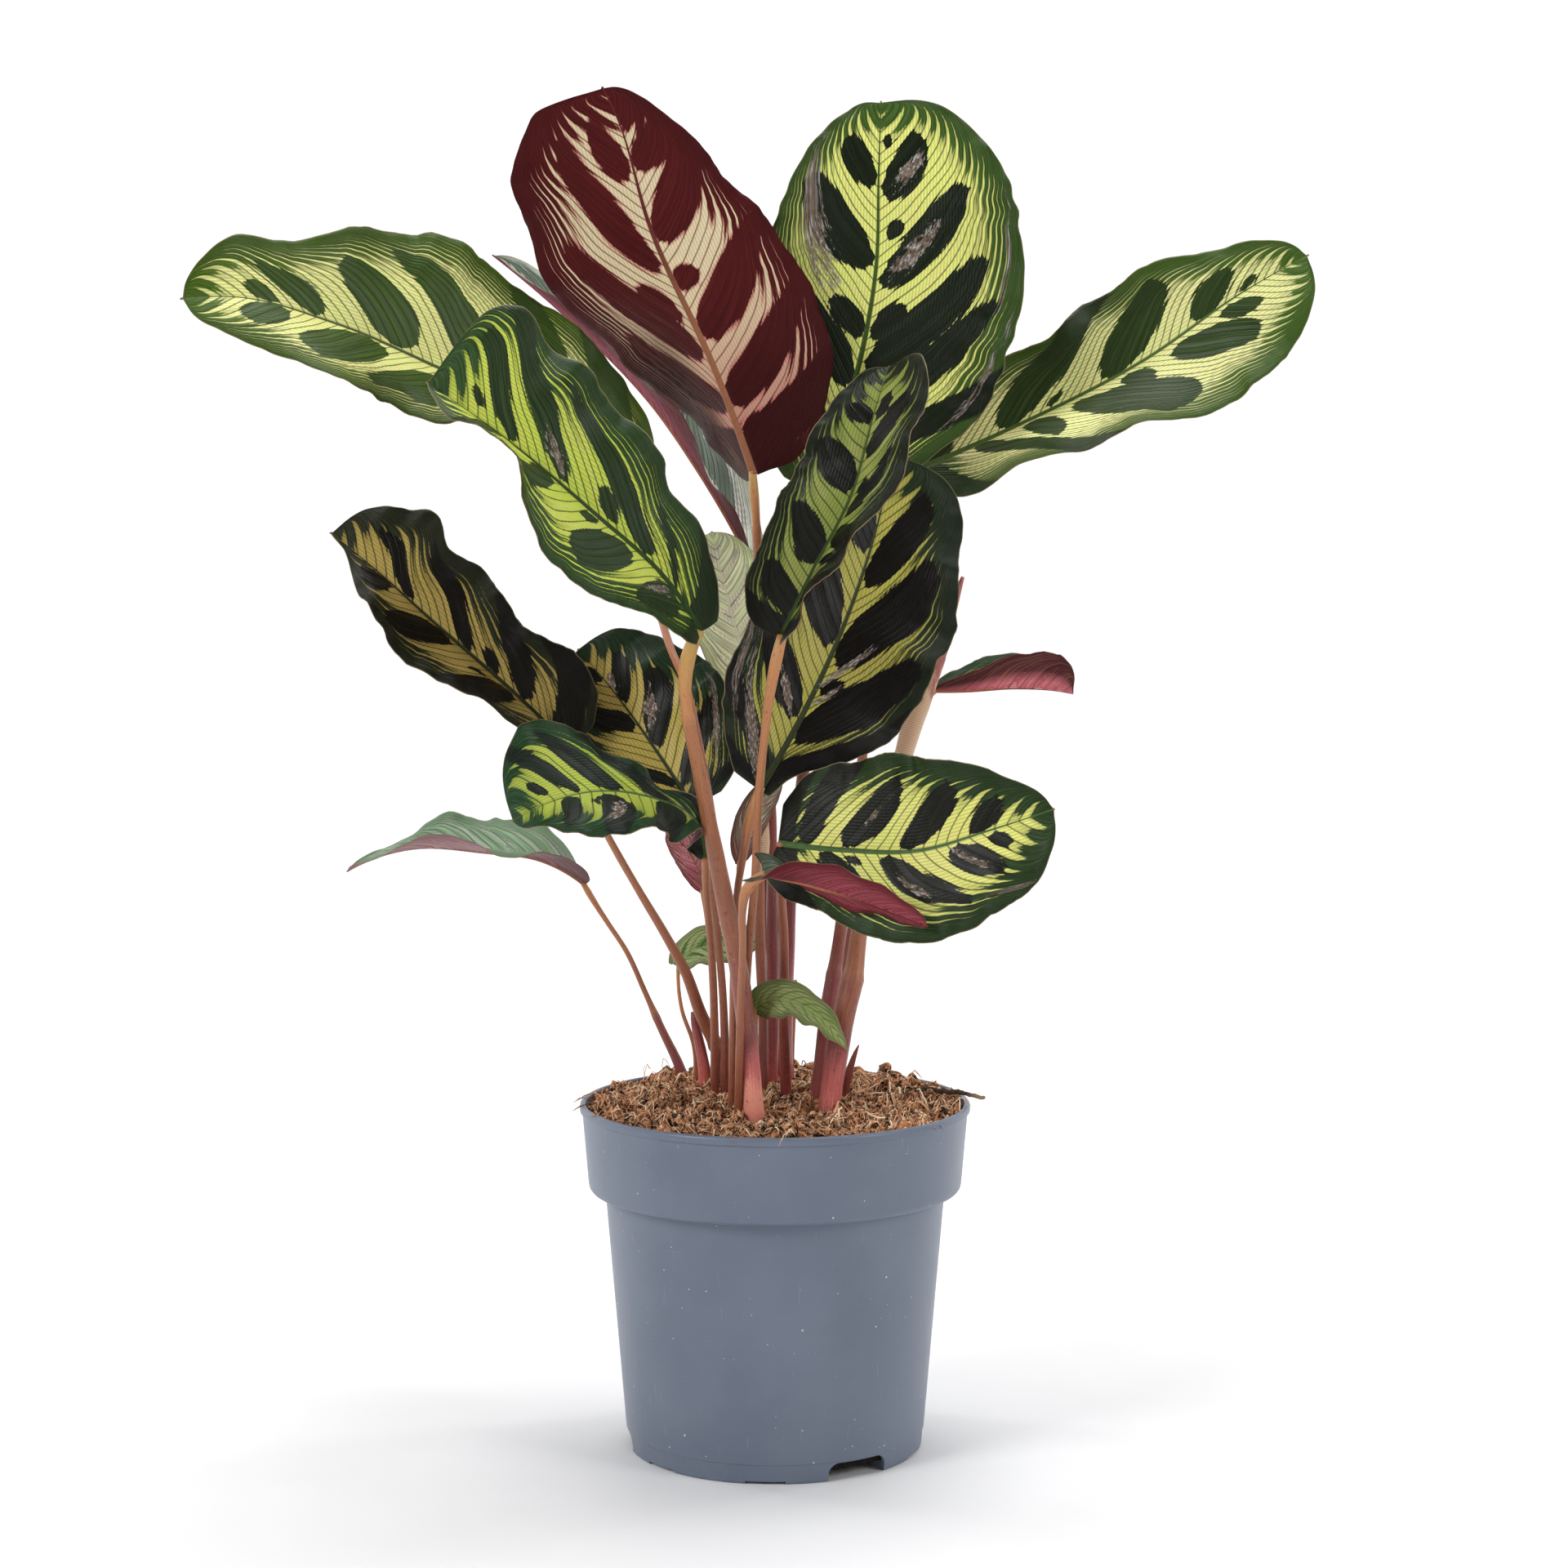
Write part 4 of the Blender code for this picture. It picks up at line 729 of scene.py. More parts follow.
def blade_points(spec, t, v):
    """Points of a blade's middle surface: t runs from base to tip, v from -1 left to 1 right."""
    centre, ahead, behind = [path_points(spec["spine"], np.clip(t + step, 0, 1))
                             for step in (0, SPINE_STEP, -SPINE_STEP)]
    tangent = unit(ahead - behind)
    face = along(spec["face"], t)
    normal = unit(face - (face * tangent).sum(-1, keepdims=True) * tangent)
    across = np.cross(tangent, normal)
    side, reach = either((-1.0, 1.0), v), np.abs(v)
    width = blade_width(spec, t, v)

    fold = np.radians(either_along(spec["fold"], t, v))
    curl = np.radians(either(spec["curl"], v))
    curl = np.where(np.abs(curl) < FLAT_CURL, FLAT_CURL, curl)
    tilt = fold + curl * reach
    sideways = (np.sin(tilt) - np.sin(fold)) / curl * width * side
    upwards = (np.cos(fold) - np.cos(tilt)) / curl * width

    ripples, phase = [either(pair, v) for pair in zip(*spec["ripple"])]
    height = either(spec["wave"], v) * MM * reach ** 2
    height = height * np.sin(2 * np.pi * (ripples * t + phase)) * np.sqrt(np.sin(np.pi * t))
    sideways = sideways - height * np.sin(tilt) * side
    upwards = upwards + height * np.cos(tilt)

    back = either(spec["lobe"], v) * MM * reach ** 1.5
    back = back * np.clip(1 - t / 0.3, 0, 1) ** 2 * np.clip(t / 0.02, 0, 1)
    push = either(spec["shoulder"], v) * MM * reach ** 1.5 * np.clip((t - 0.75) / 0.2, 0, 1)
    back = back - push * np.clip(2 * blade_outline(t, spec), 0, 1)
    return (centre + sideways[:, None] * across + upwards[:, None] * normal
            - back[:, None] * tangent)


def ring_frames(points):
    """Two directions across a path at each point, turning as little as possible."""
    tangents = unit(np.gradient(points, axis=0))
    first = np.cross(tangents[0], (0.0, 1.0, 0.0))
    sides = [first / np.linalg.norm(first)]
    for tangent in tangents[1:]:
        side = sides[-1] - tangent * np.dot(sides[-1], tangent)
        sides.append(side / np.linalg.norm(side))
    sides = np.array(sides)
    return sides, np.cross(tangents, sides)


def wobble(x, seed, waves=5):
    """Smooth random curve of about -1 to 1 whose slowest wave is one unit of x long."""
    rng = np.random.default_rng(seed)
    total = np.zeros_like(x)
    for k in range(waves):
        total += np.sin(2 * np.pi * (rng.uniform(0.5, 1.5) * (k + 1) * x + rng.random())) / (k + 1)
    return total / 1.8


# Objects


def add_piece(name, vertices, faces, materials, face_slots=None, fields=None, smooth=True):
    """A mesh object with its materials and its per-vertex number fields."""
    mesh = bpy.data.meshes.new(name)
    mesh.from_pydata(np.asarray(vertices).tolist(), [], [list(f) for f in faces])
    for material in materials:
        mesh.materials.append(material)
    if face_slots is not None:
        mesh.polygons.foreach_set("material_index", np.asarray(face_slots, np.int32))
    for field, values in (fields or {}).items():
        layer = mesh.attributes.new(field, "FLOAT", "POINT")
        layer.data.foreach_set("value", np.asarray(values, np.float32))
    if smooth:
        mesh.shade_smooth()
    mesh.validate()
    piece = bpy.data.objects.new(name, mesh)
    bpy.context.collection.objects.link(piece)
    return piece


def place(piece, slot, *nodes):
    """Put a piece on the plant's one body, in place of CAD nodes."""
    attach(piece, BODY)
    if nodes:
        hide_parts(*nodes)


# Shader nodes


def linear(colour):
    """Display values 0 to 255 as linear light, with alpha."""
    value = np.asarray(colour, float) / 255
    value = np.where(value <= 0.04045, value / 12.92, ((value + 0.055) / 1.055) ** 2.4)
    return (*value.tolist(), 1.0)


class Shader:
    """Short calls that add and link the nodes of one material.

    Colours are sockets or 0 to 255 display values.
    """

    def __init__(self, name, roughness=0.5):
        self.material = bpy.data.materials.new(name)
        self.material.use_nodes = True
        self.tree = self.material.node_tree
        self.principled = self.tree.nodes["Principled BSDF"]
        self.principled.inputs["Roughness"].default_value = roughness

    def put(self, values, sockets):
        """Link or set each value on its socket."""
        for value, socket in zip(values, sockets):
            if isinstance(value, bpy.types.NodeSocket):
                self.tree.links.new(value, socket)
            else:
                socket.default_value = value

    def field(self, name):
        """A number that the piece stores at its points."""
        node = self.tree.nodes.new("ShaderNodeAttribute")
        node.attribute_name = name
        return node.outputs["Fac"]

    def math(self, operation, *values):
        node = self.tree.nodes.new("ShaderNodeMath")
        node.operation = operation
        self.put(values, node.inputs)
        return node.outputs[0]

    def add(self, *values):
        total = values[0]
        for value in values[1:]:
            total = self.math("ADD", total, value)
        return total

    def times(self, a, b):
        return self.math("MULTIPLY", a, b)

    def centred(self, value, size):
        """A 0 to 1 value shifted to lie around 0, times size."""
        return self.times(self.math("SUBTRACT", value, 0.5), size)

    def step(self, value, low, high, start=0.0, end=1.0):
        """Smooth step of value from start at low to end at high."""
        node = self.tree.nodes.new("ShaderNodeMapRange")
        node.interpolation_type = "SMOOTHSTEP"
        self.put((value, low, high, start, end), node.inputs)
        return node.outputs[0]

    def line(self, value, spacing, width):
        """1 on thin lines where value passes each multiple of spacing, in the value's units."""
        wave = self.math("PINGPONG", value, spacing / 2)
        return self.step(wave, width * 0.4, width, 1.0, 0.0)

    def vector(self, x, y, z):
        node = self.tree.nodes.new("ShaderNodeCombineXYZ")
        self.put((x, y, z), node.inputs)
        return node.outputs[0]

    def place(self, scale=(1, 1, 1)):
        """The point's own place on the piece, in millimetres, stretched by scale."""
        node = self.tree.nodes.new("ShaderNodeTexCoord")
        stretch = self.tree.nodes.new("ShaderNodeVectorMath")
        stretch.operation = "MULTIPLY"
        self.put((node.outputs["Object"], [s / MM for s in scale]), stretch.inputs)
        return stretch.outputs[0]

    def noise(self, vector, scale=1.0, detail=2.0, roughness=0.5):
        node = self.tree.nodes.new("ShaderNodeTexNoise")
        names = ("Vector", "Scale", "Detail", "Roughness")
        self.put((vector, scale, detail, roughness), [node.inputs[name] for name in names])
        return node.outputs[0]

    def specks(self, scale, radius, share):
        """1 on scattered dots: radius is in cells, share is the part of cells with a dot."""
        node = self.tree.nodes.new("ShaderNodeTexVoronoi")
        self.put((self.place(), scale), (node.inputs["Vector"], node.inputs["Scale"]))
        parts = self.tree.nodes.new("ShaderNodeSeparateColor")
        self.put((node.outputs["Color"],), parts.inputs)
        chosen = self.math("LESS_THAN", parts.outputs[0], share)
        size = self.times(parts.outputs[1], radius)
        return self.times(chosen, self.math("LESS_THAN", node.outputs["Distance"], size))

    def mix(self, factor, a, b, blend="MIX"):
        """Colour a with colour b over it by a factor."""
        node = self.tree.nodes.new("ShaderNodeMix")
        node.data_type = "RGBA"
        node.blend_type = blend
        colours = [c if isinstance(c, bpy.types.NodeSocket) else linear(c) for c in (a, b)]
        self.put((factor, *colours), (node.inputs[0], node.inputs[6], node.inputs[7]))
        return node.outputs[2]

    def ramp(self, value, colour, *stops):
        """A colour with others over it in turn, each (low, high, colour) as value rises."""
        for low, high, over in stops:
            colour = self.mix(self.step(value, low, high), colour, over)
        return colour

    def finish(self, colour, roughness=None, height=None, depth=0.1, specular=0.5):
        """Link the colour, roughness and bump height (depth is in millimetres)."""
        inputs = self.principled.inputs
        self.put((colour, specular), (inputs["Base Color"], inputs["Specular IOR Level"]))
        if roughness is not None:
            self.put((roughness,), (inputs["Roughness"],))
        if height is not None:
            bump = self.tree.nodes.new("ShaderNodeBump")
            self.put((depth * MM, height), (bump.inputs["Distance"], bump.inputs["Height"]))
            self.put((bump.outputs[0],), (inputs["Normal"],))
        return self.material


class BladeShader(Shader):
    """What both sides of a blade share: veins, streaks, dark blotches and dark margin.

    streak: how far the light streaks reach into the dark margin, mm.
    """

    def __init__(self, name, streak):
        super().__init__(name)
        self.vein, self.reach, self.seed = map(self.field, ("vein", "reach", "seed"))
        self.streaks = self.grown(0.9, 0.05, 3.0, 0.6)
        self.grain = self.grown(2.2, 1.6)
        self.cloud = self.grown(0.07, 0.07)
        sway = self.grown(0.11, 0.05, 1.0)

        spacing = VEIN_SPACING_MM
        drift = self.add(self.vein, self.times(self.cloud, 3.0))
        gap = self.math("PINGPONG", drift, spacing / 2)
        slanted = self.math("DIVIDE", gap, self.field("slant"))
        self.veins = self.step(slanted, 0.10, 0.34, 1.0, 0.0)
        self.hatch = self.line(self.add(self.reach, self.times(self.grain, 0.5)), 1.05, 0.42)
        near = self.math("POWER", self.math("SUBTRACT", 1.0, self.times(gap, 2 / spacing)), 2.4)
        wide_gap = self.math("PINGPONG", self.add(drift, spacing / 2), spacing)
        between = self.times(self.math("SUBTRACT", wide_gap, 0.12 * spacing), streak / spacing)

        self.blotch = self.add(
            self.field("blotch"), self.centred(self.grain, 1.1), self.centred(self.streaks, 2.6),
            self.times(near, 0.9), self.times(self.hatch, 0.12))
        self.rim = self.add(
            self.field("rim"), self.times(near, 2.5), between, self.centred(self.streaks, 8.0),
            self.centred(sway, 7.0), self.centred(self.grain, 2.2), self.times(self.hatch, 0.5))
        self.dark = self.step(self.blotch, -0.18, 0.18)
        self.band = self.step(self.rim, -1.0, 0.8)

    def grown(self, across, outwards, detail=2.0, roughness=0.5):
        """Noise stretched along the side veins: how often it changes, per mm."""
        vector = self.vector(self.times(self.vein, across), self.times(self.reach, outwards),
                             self.seed)
        return self.noise(vector, 1.0, detail, roughness)


# Materials


def under_material(name, palette, streak):
    """Under side: pale pink with burgundy markings, with painted shade towards the base and on the
    steep side of a sharp fold.
    """
    s = BladeShader(name, streak)
    t, fold_shade = s.field("t"), s.field("fold_shade")
    bright, dim = palette["under_light"], palette["under_dark"]
    flush = s.math("MAXIMUM", s.step(s.blotch, -1.1, -0.1), s.step(s.rim, -3.2, -0.2))
    pale = s.mix(s.step(t, 0.1, 0.55), bright * (0.82, 0.65, 0.69), bright)
    pale = s.mix(s.times(flush, 0.75), pale, bright * (0.79, 0.42, 0.52))
    pale = s.mix(s.times(s.veins, 0.8), pale, bright * (0.52, 0.24, 0.28))
    pale = s.mix(s.times(s.hatch, 0.28), pale, bright * (0.65, 0.48, 0.47))
    ground = s.ramp(s.streaks, dim, (0.3, 0.75, dim * 1.25 + 5))
    ground = s.mix(s.times(s.veins, 0.35), ground, (50, 12, 20))
    ground = s.mix(s.times(s.hatch, 0.10), ground, (60, 16, 24))
    # Painted shade: the burgundy ground is darker towards the blade's base.
    ground = s.ramp(t, ground, (0.5, 0.1, dim * 0.75))
    colour = s.mix(s.math("MAXIMUM", s.dark, s.band), pale, ground)
    # Painted shade: the steep side of a sharp fold is darkened nearly to black, and its pale
    # stripes are left as dim tan streaks.
    colour = s.mix(s.times(fold_shade, 0.85), colour, (34, 10, 8), "DARKEN")
    tan = s.times(s.step(s.streaks, 0.52, 0.66), fold_shade)
    colour = s.mix(s.times(tan, 0.6), colour, (150, 104, 76))
    ridge = s.ramp(t, (150, 98, 70), (0.35, 0.7, (98, 38, 40)))
    colour = s.mix(s.step(s.field("rib"), 0.9, 1.15), ridge, colour)
    height = s.add(s.times(s.veins, 1.0), s.times(s.hatch, 0.35), s.times(s.cloud, 0.6))
    roughness = s.step(s.streaks, 0.2, 0.8, 0.42, 0.56)
    return s.finish(colour, roughness, height, 0.12, specular=0.09)


def upper_material(name, palette, streak, vein_tone):
    """Upper side: light ground, dark margin and blotches, midrib, weathered spots and painted sheen
    spots.

    vein_tone: brightness of the veins beside the light markings.
    """
    s = BladeShader(name, streak)
    pale, dim, edge = palette["light"], palette["dark"], palette["margin"]
    light = s.ramp(s.cloud, pale, (0.35, 0.65, pale * 0.9 + (26, 20, 18)))
    light = s.ramp(s.rim, light, (-7.0, -0.5, pale * 0.84))
    light = s.mix(s.times(s.veins, 0.85), light, pale * vein_tone)
    light = s.mix(s.times(s.hatch, 0.42), light, pale * 0.62)
    light = s.mix(s.step(s.grain, 0.45, 0.25, 0.0, 0.3), light, pale * 0.7)
    zone = s.ramp(s.streaks, edge, (0.3, 0.75, edge * 1.45 + 3))
    zone = s.mix(s.times(s.veins, 0.4), zone, edge * 0.6)
    deep = s.ramp(s.streaks, dim, (0.35, 0.85, dim * 1.5 + 5))
    deep = s.mix(s.times(s.veins, 0.5), deep, dim * 0.5)
    colour = s.mix(s.dark, s.mix(s.band, light, zone), deep)
    colour = s.mix(s.step(s.field("rib"), 0.9, 1.15), palette["rib"], colour)

    flakes = s.noise(s.vector(s.vein, s.reach, s.seed), 0.9, 4.0, 0.75)
    patch = s.grown(0.35, 0.18, 3.0, 0.6)
    # Weathered spots in grey and brown; the same spots draw left_lower's painted sheen.
    wear_and_sheen = s.add(s.field("wear_and_sheen"), s.centred(patch, 2.4), s.centred(flakes, 1.6))
    wear_and_sheen = s.step(wear_and_sheen, 0.34, 0.56)
    scurf_and_sheen = s.ramp(flakes, (54, 44, 36), (0.36, 0.50, (122, 104, 88)),
                   (0.52, 0.64, (196, 198, 198)))
    colour = s.mix(s.times(wear_and_sheen, 0.85), colour, scurf_and_sheen)
    colour = s.mix(s.step(s.field("edge"), 0.05, 0.4), (140, 126, 88), colour)
    height = s.add(s.times(s.veins, -0.8), s.times(s.hatch, 0.3), s.times(s.cloud, 1.0),
                   s.times(s.times(wear_and_sheen, flakes), 2.0))
    roughness = s.add(s.step(s.streaks, 0.2, 0.8, 0.30, 0.42), s.times(wear_and_sheen, 0.3))
    return s.finish(colour, roughness, height, 0.12, specular=0.16)


def rim_material():
    """Cut edge of a blade: a thin pale line that turns reddish in places."""
    s = Shader("blade_edge")
    patches = s.noise(s.place(), 0.12)
    colour = s.ramp(patches, (150, 128, 84), (0.35, 0.65, (120, 60, 58)))
    return s.finish(colour, None, s.noise(s.place(), 2.0), 0.05)


def stem_material():
    """Smooth stem: pink or maroon at the foot to orange-brown, with long fine streaks."""
    s = Shader("stem")
    length, around, seed = map(s.field, ("length", "around", "seed"))
    streaks, marks = [
        s.noise(s.vector(s.times(length, up), s.times(around, across), seed), 1.0, *detail)
        for up, across, detail in ((0.06, 9.0, (4.0, 0.6)), (0.5, 2.0, (3.0,)))]
    grain = s.noise(s.place(), 1.2, 3.0, 0.6)
    tone = s.add(s.field("tone"), s.centred(streaks, 1.0), s.centred(grain, 0.25))
    colour = s.ramp(tone, (240, 156, 136), (-0.75, -0.4, (196, 98, 92)),
                    (-0.35, 0.1, (126, 58, 54)), (0.1, 0.5, (158, 98, 68)),
                    (0.5, 1.0, (196, 134, 84)), (1.0, 1.4, (196, 166, 86)))
    colour = s.mix(s.step(marks, 0.60, 0.72, 0.0, 0.5), colour, (70, 34, 28))
    colour = s.mix(s.step(marks, 0.34, 0.26, 0.0, 0.35), colour, (206, 150, 116))
    colour = s.mix(s.times(s.field("scar"), 0.16), colour, (206, 156, 112))
    colour = s.mix(s.times(s.field("foot"), 0.5), colour, (84, 48, 38))
    height = s.add(streaks, s.times(grain, 0.3))
    return s.finish(colour, s.step(streaks, 0.2, 0.8, 0.28, 0.42), height, 0.15)


def rolled_material():
    """Outside of a rolled leaf: pink-brown above, cream below, striped round the roll."""
    s = Shader("rolled_leaf")
    turn, length = s.field("turn"), s.field("length")
    stripes = s.noise(s.vector(s.times(turn, 5.0), s.times(length, 0.12), 0.0), 1.0, 3.0)
    hatch = s.line(s.add(length, s.times(stripes, 0.6)), 0.8, 0.3)
    cream = s.mix(s.times(hatch, 0.4), (206, 176, 140), (150, 104, 84))
    pink = s.ramp(stripes, (176, 104, 96), (0.4, 0.6, (150, 84, 72)))
    upper = s.add(s.field("t"), s.centred(stripes, 1.2))
    colour = s.ramp(upper, cream, (0.3, 0.6, pink))
    colour = s.mix(s.field("seam"), colour, (120, 58, 58))
    return s.finish(colour, s.step(stripes, 0.3, 0.7, 0.4, 0.55), stripes, 0.15)


def pot_material():
    """Blue-grey moulded plastic: satin, with fine scratches, scuffs and dust."""
    s = Shader("pot_plastic")
    cloud = s.noise(s.place(), 0.03, 3.0)
    upright = s.noise(s.place((1, 1, 0.02)), 1.1)
    level = s.noise(s.place((0.03, 0.03, 1)), 2.6)
    scratches = s.add(s.step(upright, 0.70, 0.74), s.times(s.step(level, 0.72, 0.76), 0.7))
    dust, fine_dust = s.specks(0.17, 0.062, 0.55), s.specks(0.36, 0.085, 0.4)
    colour = s.ramp(cloud, (98, 108, 125), (0.3, 0.7, (107, 117, 133)))
    colour = s.mix(s.times(scratches, 0.12), colour, (170, 176, 186))
    colour = s.mix(s.math("MAXIMUM", dust, fine_dust), colour, (206, 208, 210))
    height = s.add(s.noise(s.place(), 1.6), s.times(scratches, -0.8))
    roughness = s.add(s.step(cloud, 0.3, 0.7, 0.34, 0.44), s.times(dust, 0.4))
    return s.finish(colour, roughness, height, 0.03)


def soil_material(name, dark, middle, light, scale=1.0):
    """Peat and coir: brown crumbs and tan fibres; the dark colour is partly the peat's own and
    partly painted shade in the gaps, where the bump is lowest; nearly black low in the pot.
    """
    s = Shader(name)
    clumps = s.noise(s.place(), 0.35 * scale, 4.0, 0.6)
    grain = s.noise(s.place(), 0.9 * scale, 5.0, 0.7)
    # Painted shade in part: the dark colour lies where the bump is lowest, as in the gaps between
    # crumbs.
    colour = s.ramp(clumps, dark, (0.40, 0.58, middle))
    colour = s.ramp(grain, colour, (0.52, 0.66, light), (0.46, 0.36, dark))
    colour = s.mix(s.field("deep"), colour, (30, 24, 20))
    height = s.add(grain, s.times(clumps, 0.6))
    return s.finish(colour, s.step(grain, 0.2, 0.8, 0.85, 1.0), height, 0.6, specular=0.2)


def fibre_material():
    """Coir fibres: each has its own brown, from nearly black to tan."""
    s = Shader("coir_fibre", 0.8)
    tone = s.add(s.field("tone"), s.centred(s.noise(s.place(), 1.5), 0.4))
    colour = s.ramp(tone, (30, 18, 12), (0.0, 0.5, (218, 156, 112)), (0.5, 1.0, (255, 232, 196)))
    return s.finish(colour, None, s.noise(s.place(), 3.0), 0.1, specular=0.25)


def root_material():
    """Dry dark root with a paler, broken end."""
    s = Shader("dry_root", 0.85)
    bark = s.noise(s.place((0.3, 1, 1)), 1.4, 5.0, 0.7)
    colour = s.ramp(bark, (44, 34, 28), (0.35, 0.65, (92, 74, 58)))
    colour = s.ramp(s.field("t"), colour, (0.8, 0.95, (150, 124, 96)))
    return s.finish(colour, None, bark, 0.4, specular=0.3)


def floor_material():
    """Plain pale studio floor with the faintest mottle."""
    s = Shader("floor", 0.6)
    colour = s.mix(s.noise(s.place(), 0.02), (244, 244, 245), (248, 248, 248))
    return s.finish(colour, specular=0.2)


# Blades


def curve(values, u):
    """Parabola through three values at u = 0, 1/2 and 1."""
    a, b, c = values
    return a + u * (4 * b - 3 * a - c) + 2 * u * u * (a - 2 * b + c)


def vein_place(t, r, sweep):
    """Where the side vein through (t, r) leaves the midrib, as t."""
    taper = np.clip((1 - t) / 0.25, 0, 1) ** 0.4
    bend = VEIN_BEND * np.clip((r - 0.45) / 0.55, 0, 1) ** 3
    return t - (sweep * (r + 0.6 * r * r) / 1.6 + bend) * taper


def blotch_field(t, r, marks, length, width):
    """Depth inside the nearest dark blotch in mm, negative outside all of them."""
    best = np.full_like(t, -20.0)
    for first, last, *shape in marks:
        places, heights = shape[:3], shape[3:]
        u = np.clip((r - first) / (last - first), 0, 1)
        ends = np.sqrt(np.clip(u / 0.12, 0, 1))
        if last < 0.9:
            ends = ends * np.sqrt(np.clip((1 - u) / 0.16, 0, 1))
        slope = (curve(places, u + 0.01) - curve(places, u - 0.01)) / 0.02 / (last - first)
        half = np.maximum(curve(heights, u), 0.0) / 2 * ends
        depth = (half - np.abs(t - curve(places, u))) * length
        depth = np.minimum(depth / np.hypot(1, slope * length / width), DEEPEST_BLOTCH_MM)
        outside = (np.maximum(first - r, 0) + 0.4 * np.maximum(r - last, 0)) * width
        best = np.maximum(best, depth - outside)
    return best


def wear_and_sheen_field(t, v, marks, sweep):
    """1 in the middle of each spot (weathered spots, and left_lower's painted sheen), falling off
    outwards; spots follow the veins.
    """
    total = np.full_like(t, -2.0)
    for side, t0, r0, dt, dr in marks:
        on_side = (v < 0) if side == "left" else (v >= 0)
        turn = sweep[0] if side == "left" else sweep[1]
        centre = vein_place(np.array([t0]), np.array([r0]), turn)[0]
        distance = np.hypot((vein_place(t, np.abs(v), turn) - centre) / dt, (np.abs(v) - r0) / dr)
        total = np.maximum(total, np.where(on_side, 1.25 - distance, -2.0))
    return total


def blade_fields(spec, marks, t, v):
    """Numbers for the blade's materials at each point, lengths in mm."""
    length = spec["length"] / MM
    width = blade_width(spec, t, v) / MM
    r = np.abs(v)
    fold = either_along(spec["fold"], t, v)
    sweep = either(marks["sweep"], v)
    blotch = either([blotch_field(t, r, rows, length, width) for rows in marks["blotches"]], v)
    stations = np.linspace(0, 1, len(marks["margin"][0]))
    start = either([np.interp(t, stations, row) for row in marks["margin"]], v)
    rim = np.maximum((r - start) * width, (marks["base"] - t) * length)
    rim = np.maximum(rim, (t - 0.965) * length) - 40 * marks["bare"]
    vein = vein_place(t, r, sweep)
    nearby = vein_place(t, r - 0.01, sweep) - vein
    rib_width = (MIDRIB_WIDTH_MM * np.clip(1 - t, 0.12, 1) ** 0.7
                 * min(1.0, length / RIDGE_FULL_LENGTH * MM))
    return dict(
        t=t, blotch=blotch, rim=rim, vein=vein * length,
        slant=np.hypot(1, nearby * length / (0.01 * width)),
        # fold_shade: where the under side gets painted shade, on the steep side of a sharp fold.
        fold_shade=np.clip((fold - 30) / 25, 0, 1) * np.clip((r - 0.2) / 0.3, 0, 1),
        reach=r * width, rib=r * width / rib_width, edge=(1 - r) * width,
        wear_and_sheen=wear_and_sheen_field(t, v, marks["wear_and_sheen"], marks["sweep"]),
        seed=np.full_like(t, 7.0 * spec["seed"]))


def relief(spec, marks, t, v):
    """Height of the blade's own fine shape: quilting between side veins and margin ripple."""
    seed = spec["seed"]
    r = np.abs(v)
    vein = vein_place(t, r, either(marks["sweep"], v)) * spec["length"]
    inside = np.clip(r / 0.15, 0, 1) * np.clip((1 - r) / 0.12, 0, 1) * np.sin(np.pi * t) ** 0.5
    size = min(1.0, spec["length"] / RELIEF_FULL_LENGTH)
    quilt = QUILT_HEIGHT * np.cos(2 * np.pi * vein / QUILT_SPACING + wobble(t, seed)) * inside
    swell = SWELL_HEIGHT * size * wobble(1.7 * t + 0.4 * r, seed + 1) * r * (1 - 0.5 * r)
    frill = FRILL_HEIGHT * size * wobble(3.2 * t + either((0.5, 0), v), seed + 2) * r ** 3
    frill = frill * np.clip(blade_width(spec, t, v) / 0.02, 0, 1)
    return (quilt + swell + frill) * np.clip(np.minimum(t, 1 - t) / 0.04, 0, 1)


def blade_grid(spec):
    """Grid lines along and across a blade, closer at both ends and at the midrib."""
    widest = max(max(row) for row in spec["width"]) * MM
    rows = int(np.clip(spec["length"] / ROW_STEP, *ROW_COUNTS))
    half = int(np.clip(widest / COLUMN_STEP, *COLUMN_COUNTS))
    x = np.linspace(0, 1, rows)
    t_row = 0.35 * x + 0.65 * (0.5 - 0.5 * np.cos(np.pi * x))
    u = np.linspace(0, 1, half + 1)
    side = 0.3 * u + 0.7 * u ** 1.5
    return t_row, np.concatenate([-side[:0:-1], side])


def blade_faces(rows, columns):
    """Faces and their material numbers: upper side, under side and the strip round the edge."""
    count = rows * columns
    index = np.arange(count).reshape(rows, columns)
    a, b, c, d = index[:-1, :-1], index[:-1, 1:], index[1:, 1:], index[1:, :-1]
    top = np.stack([a, b, c, d], -1).reshape(-1, 4)
    bottom = top[:, ::-1] + count
    border = np.concatenate([index[0, :-1], index[:-1, -1], index[-1, :0:-1], index[:0:-1, 0]])
    ahead = np.roll(border, -1)
    strip = np.stack([ahead, border, border + count, ahead + count], -1)
    groups = (top, bottom, strip)
    return np.concatenate(groups), np.repeat(range(3), [len(group) for group in groups])


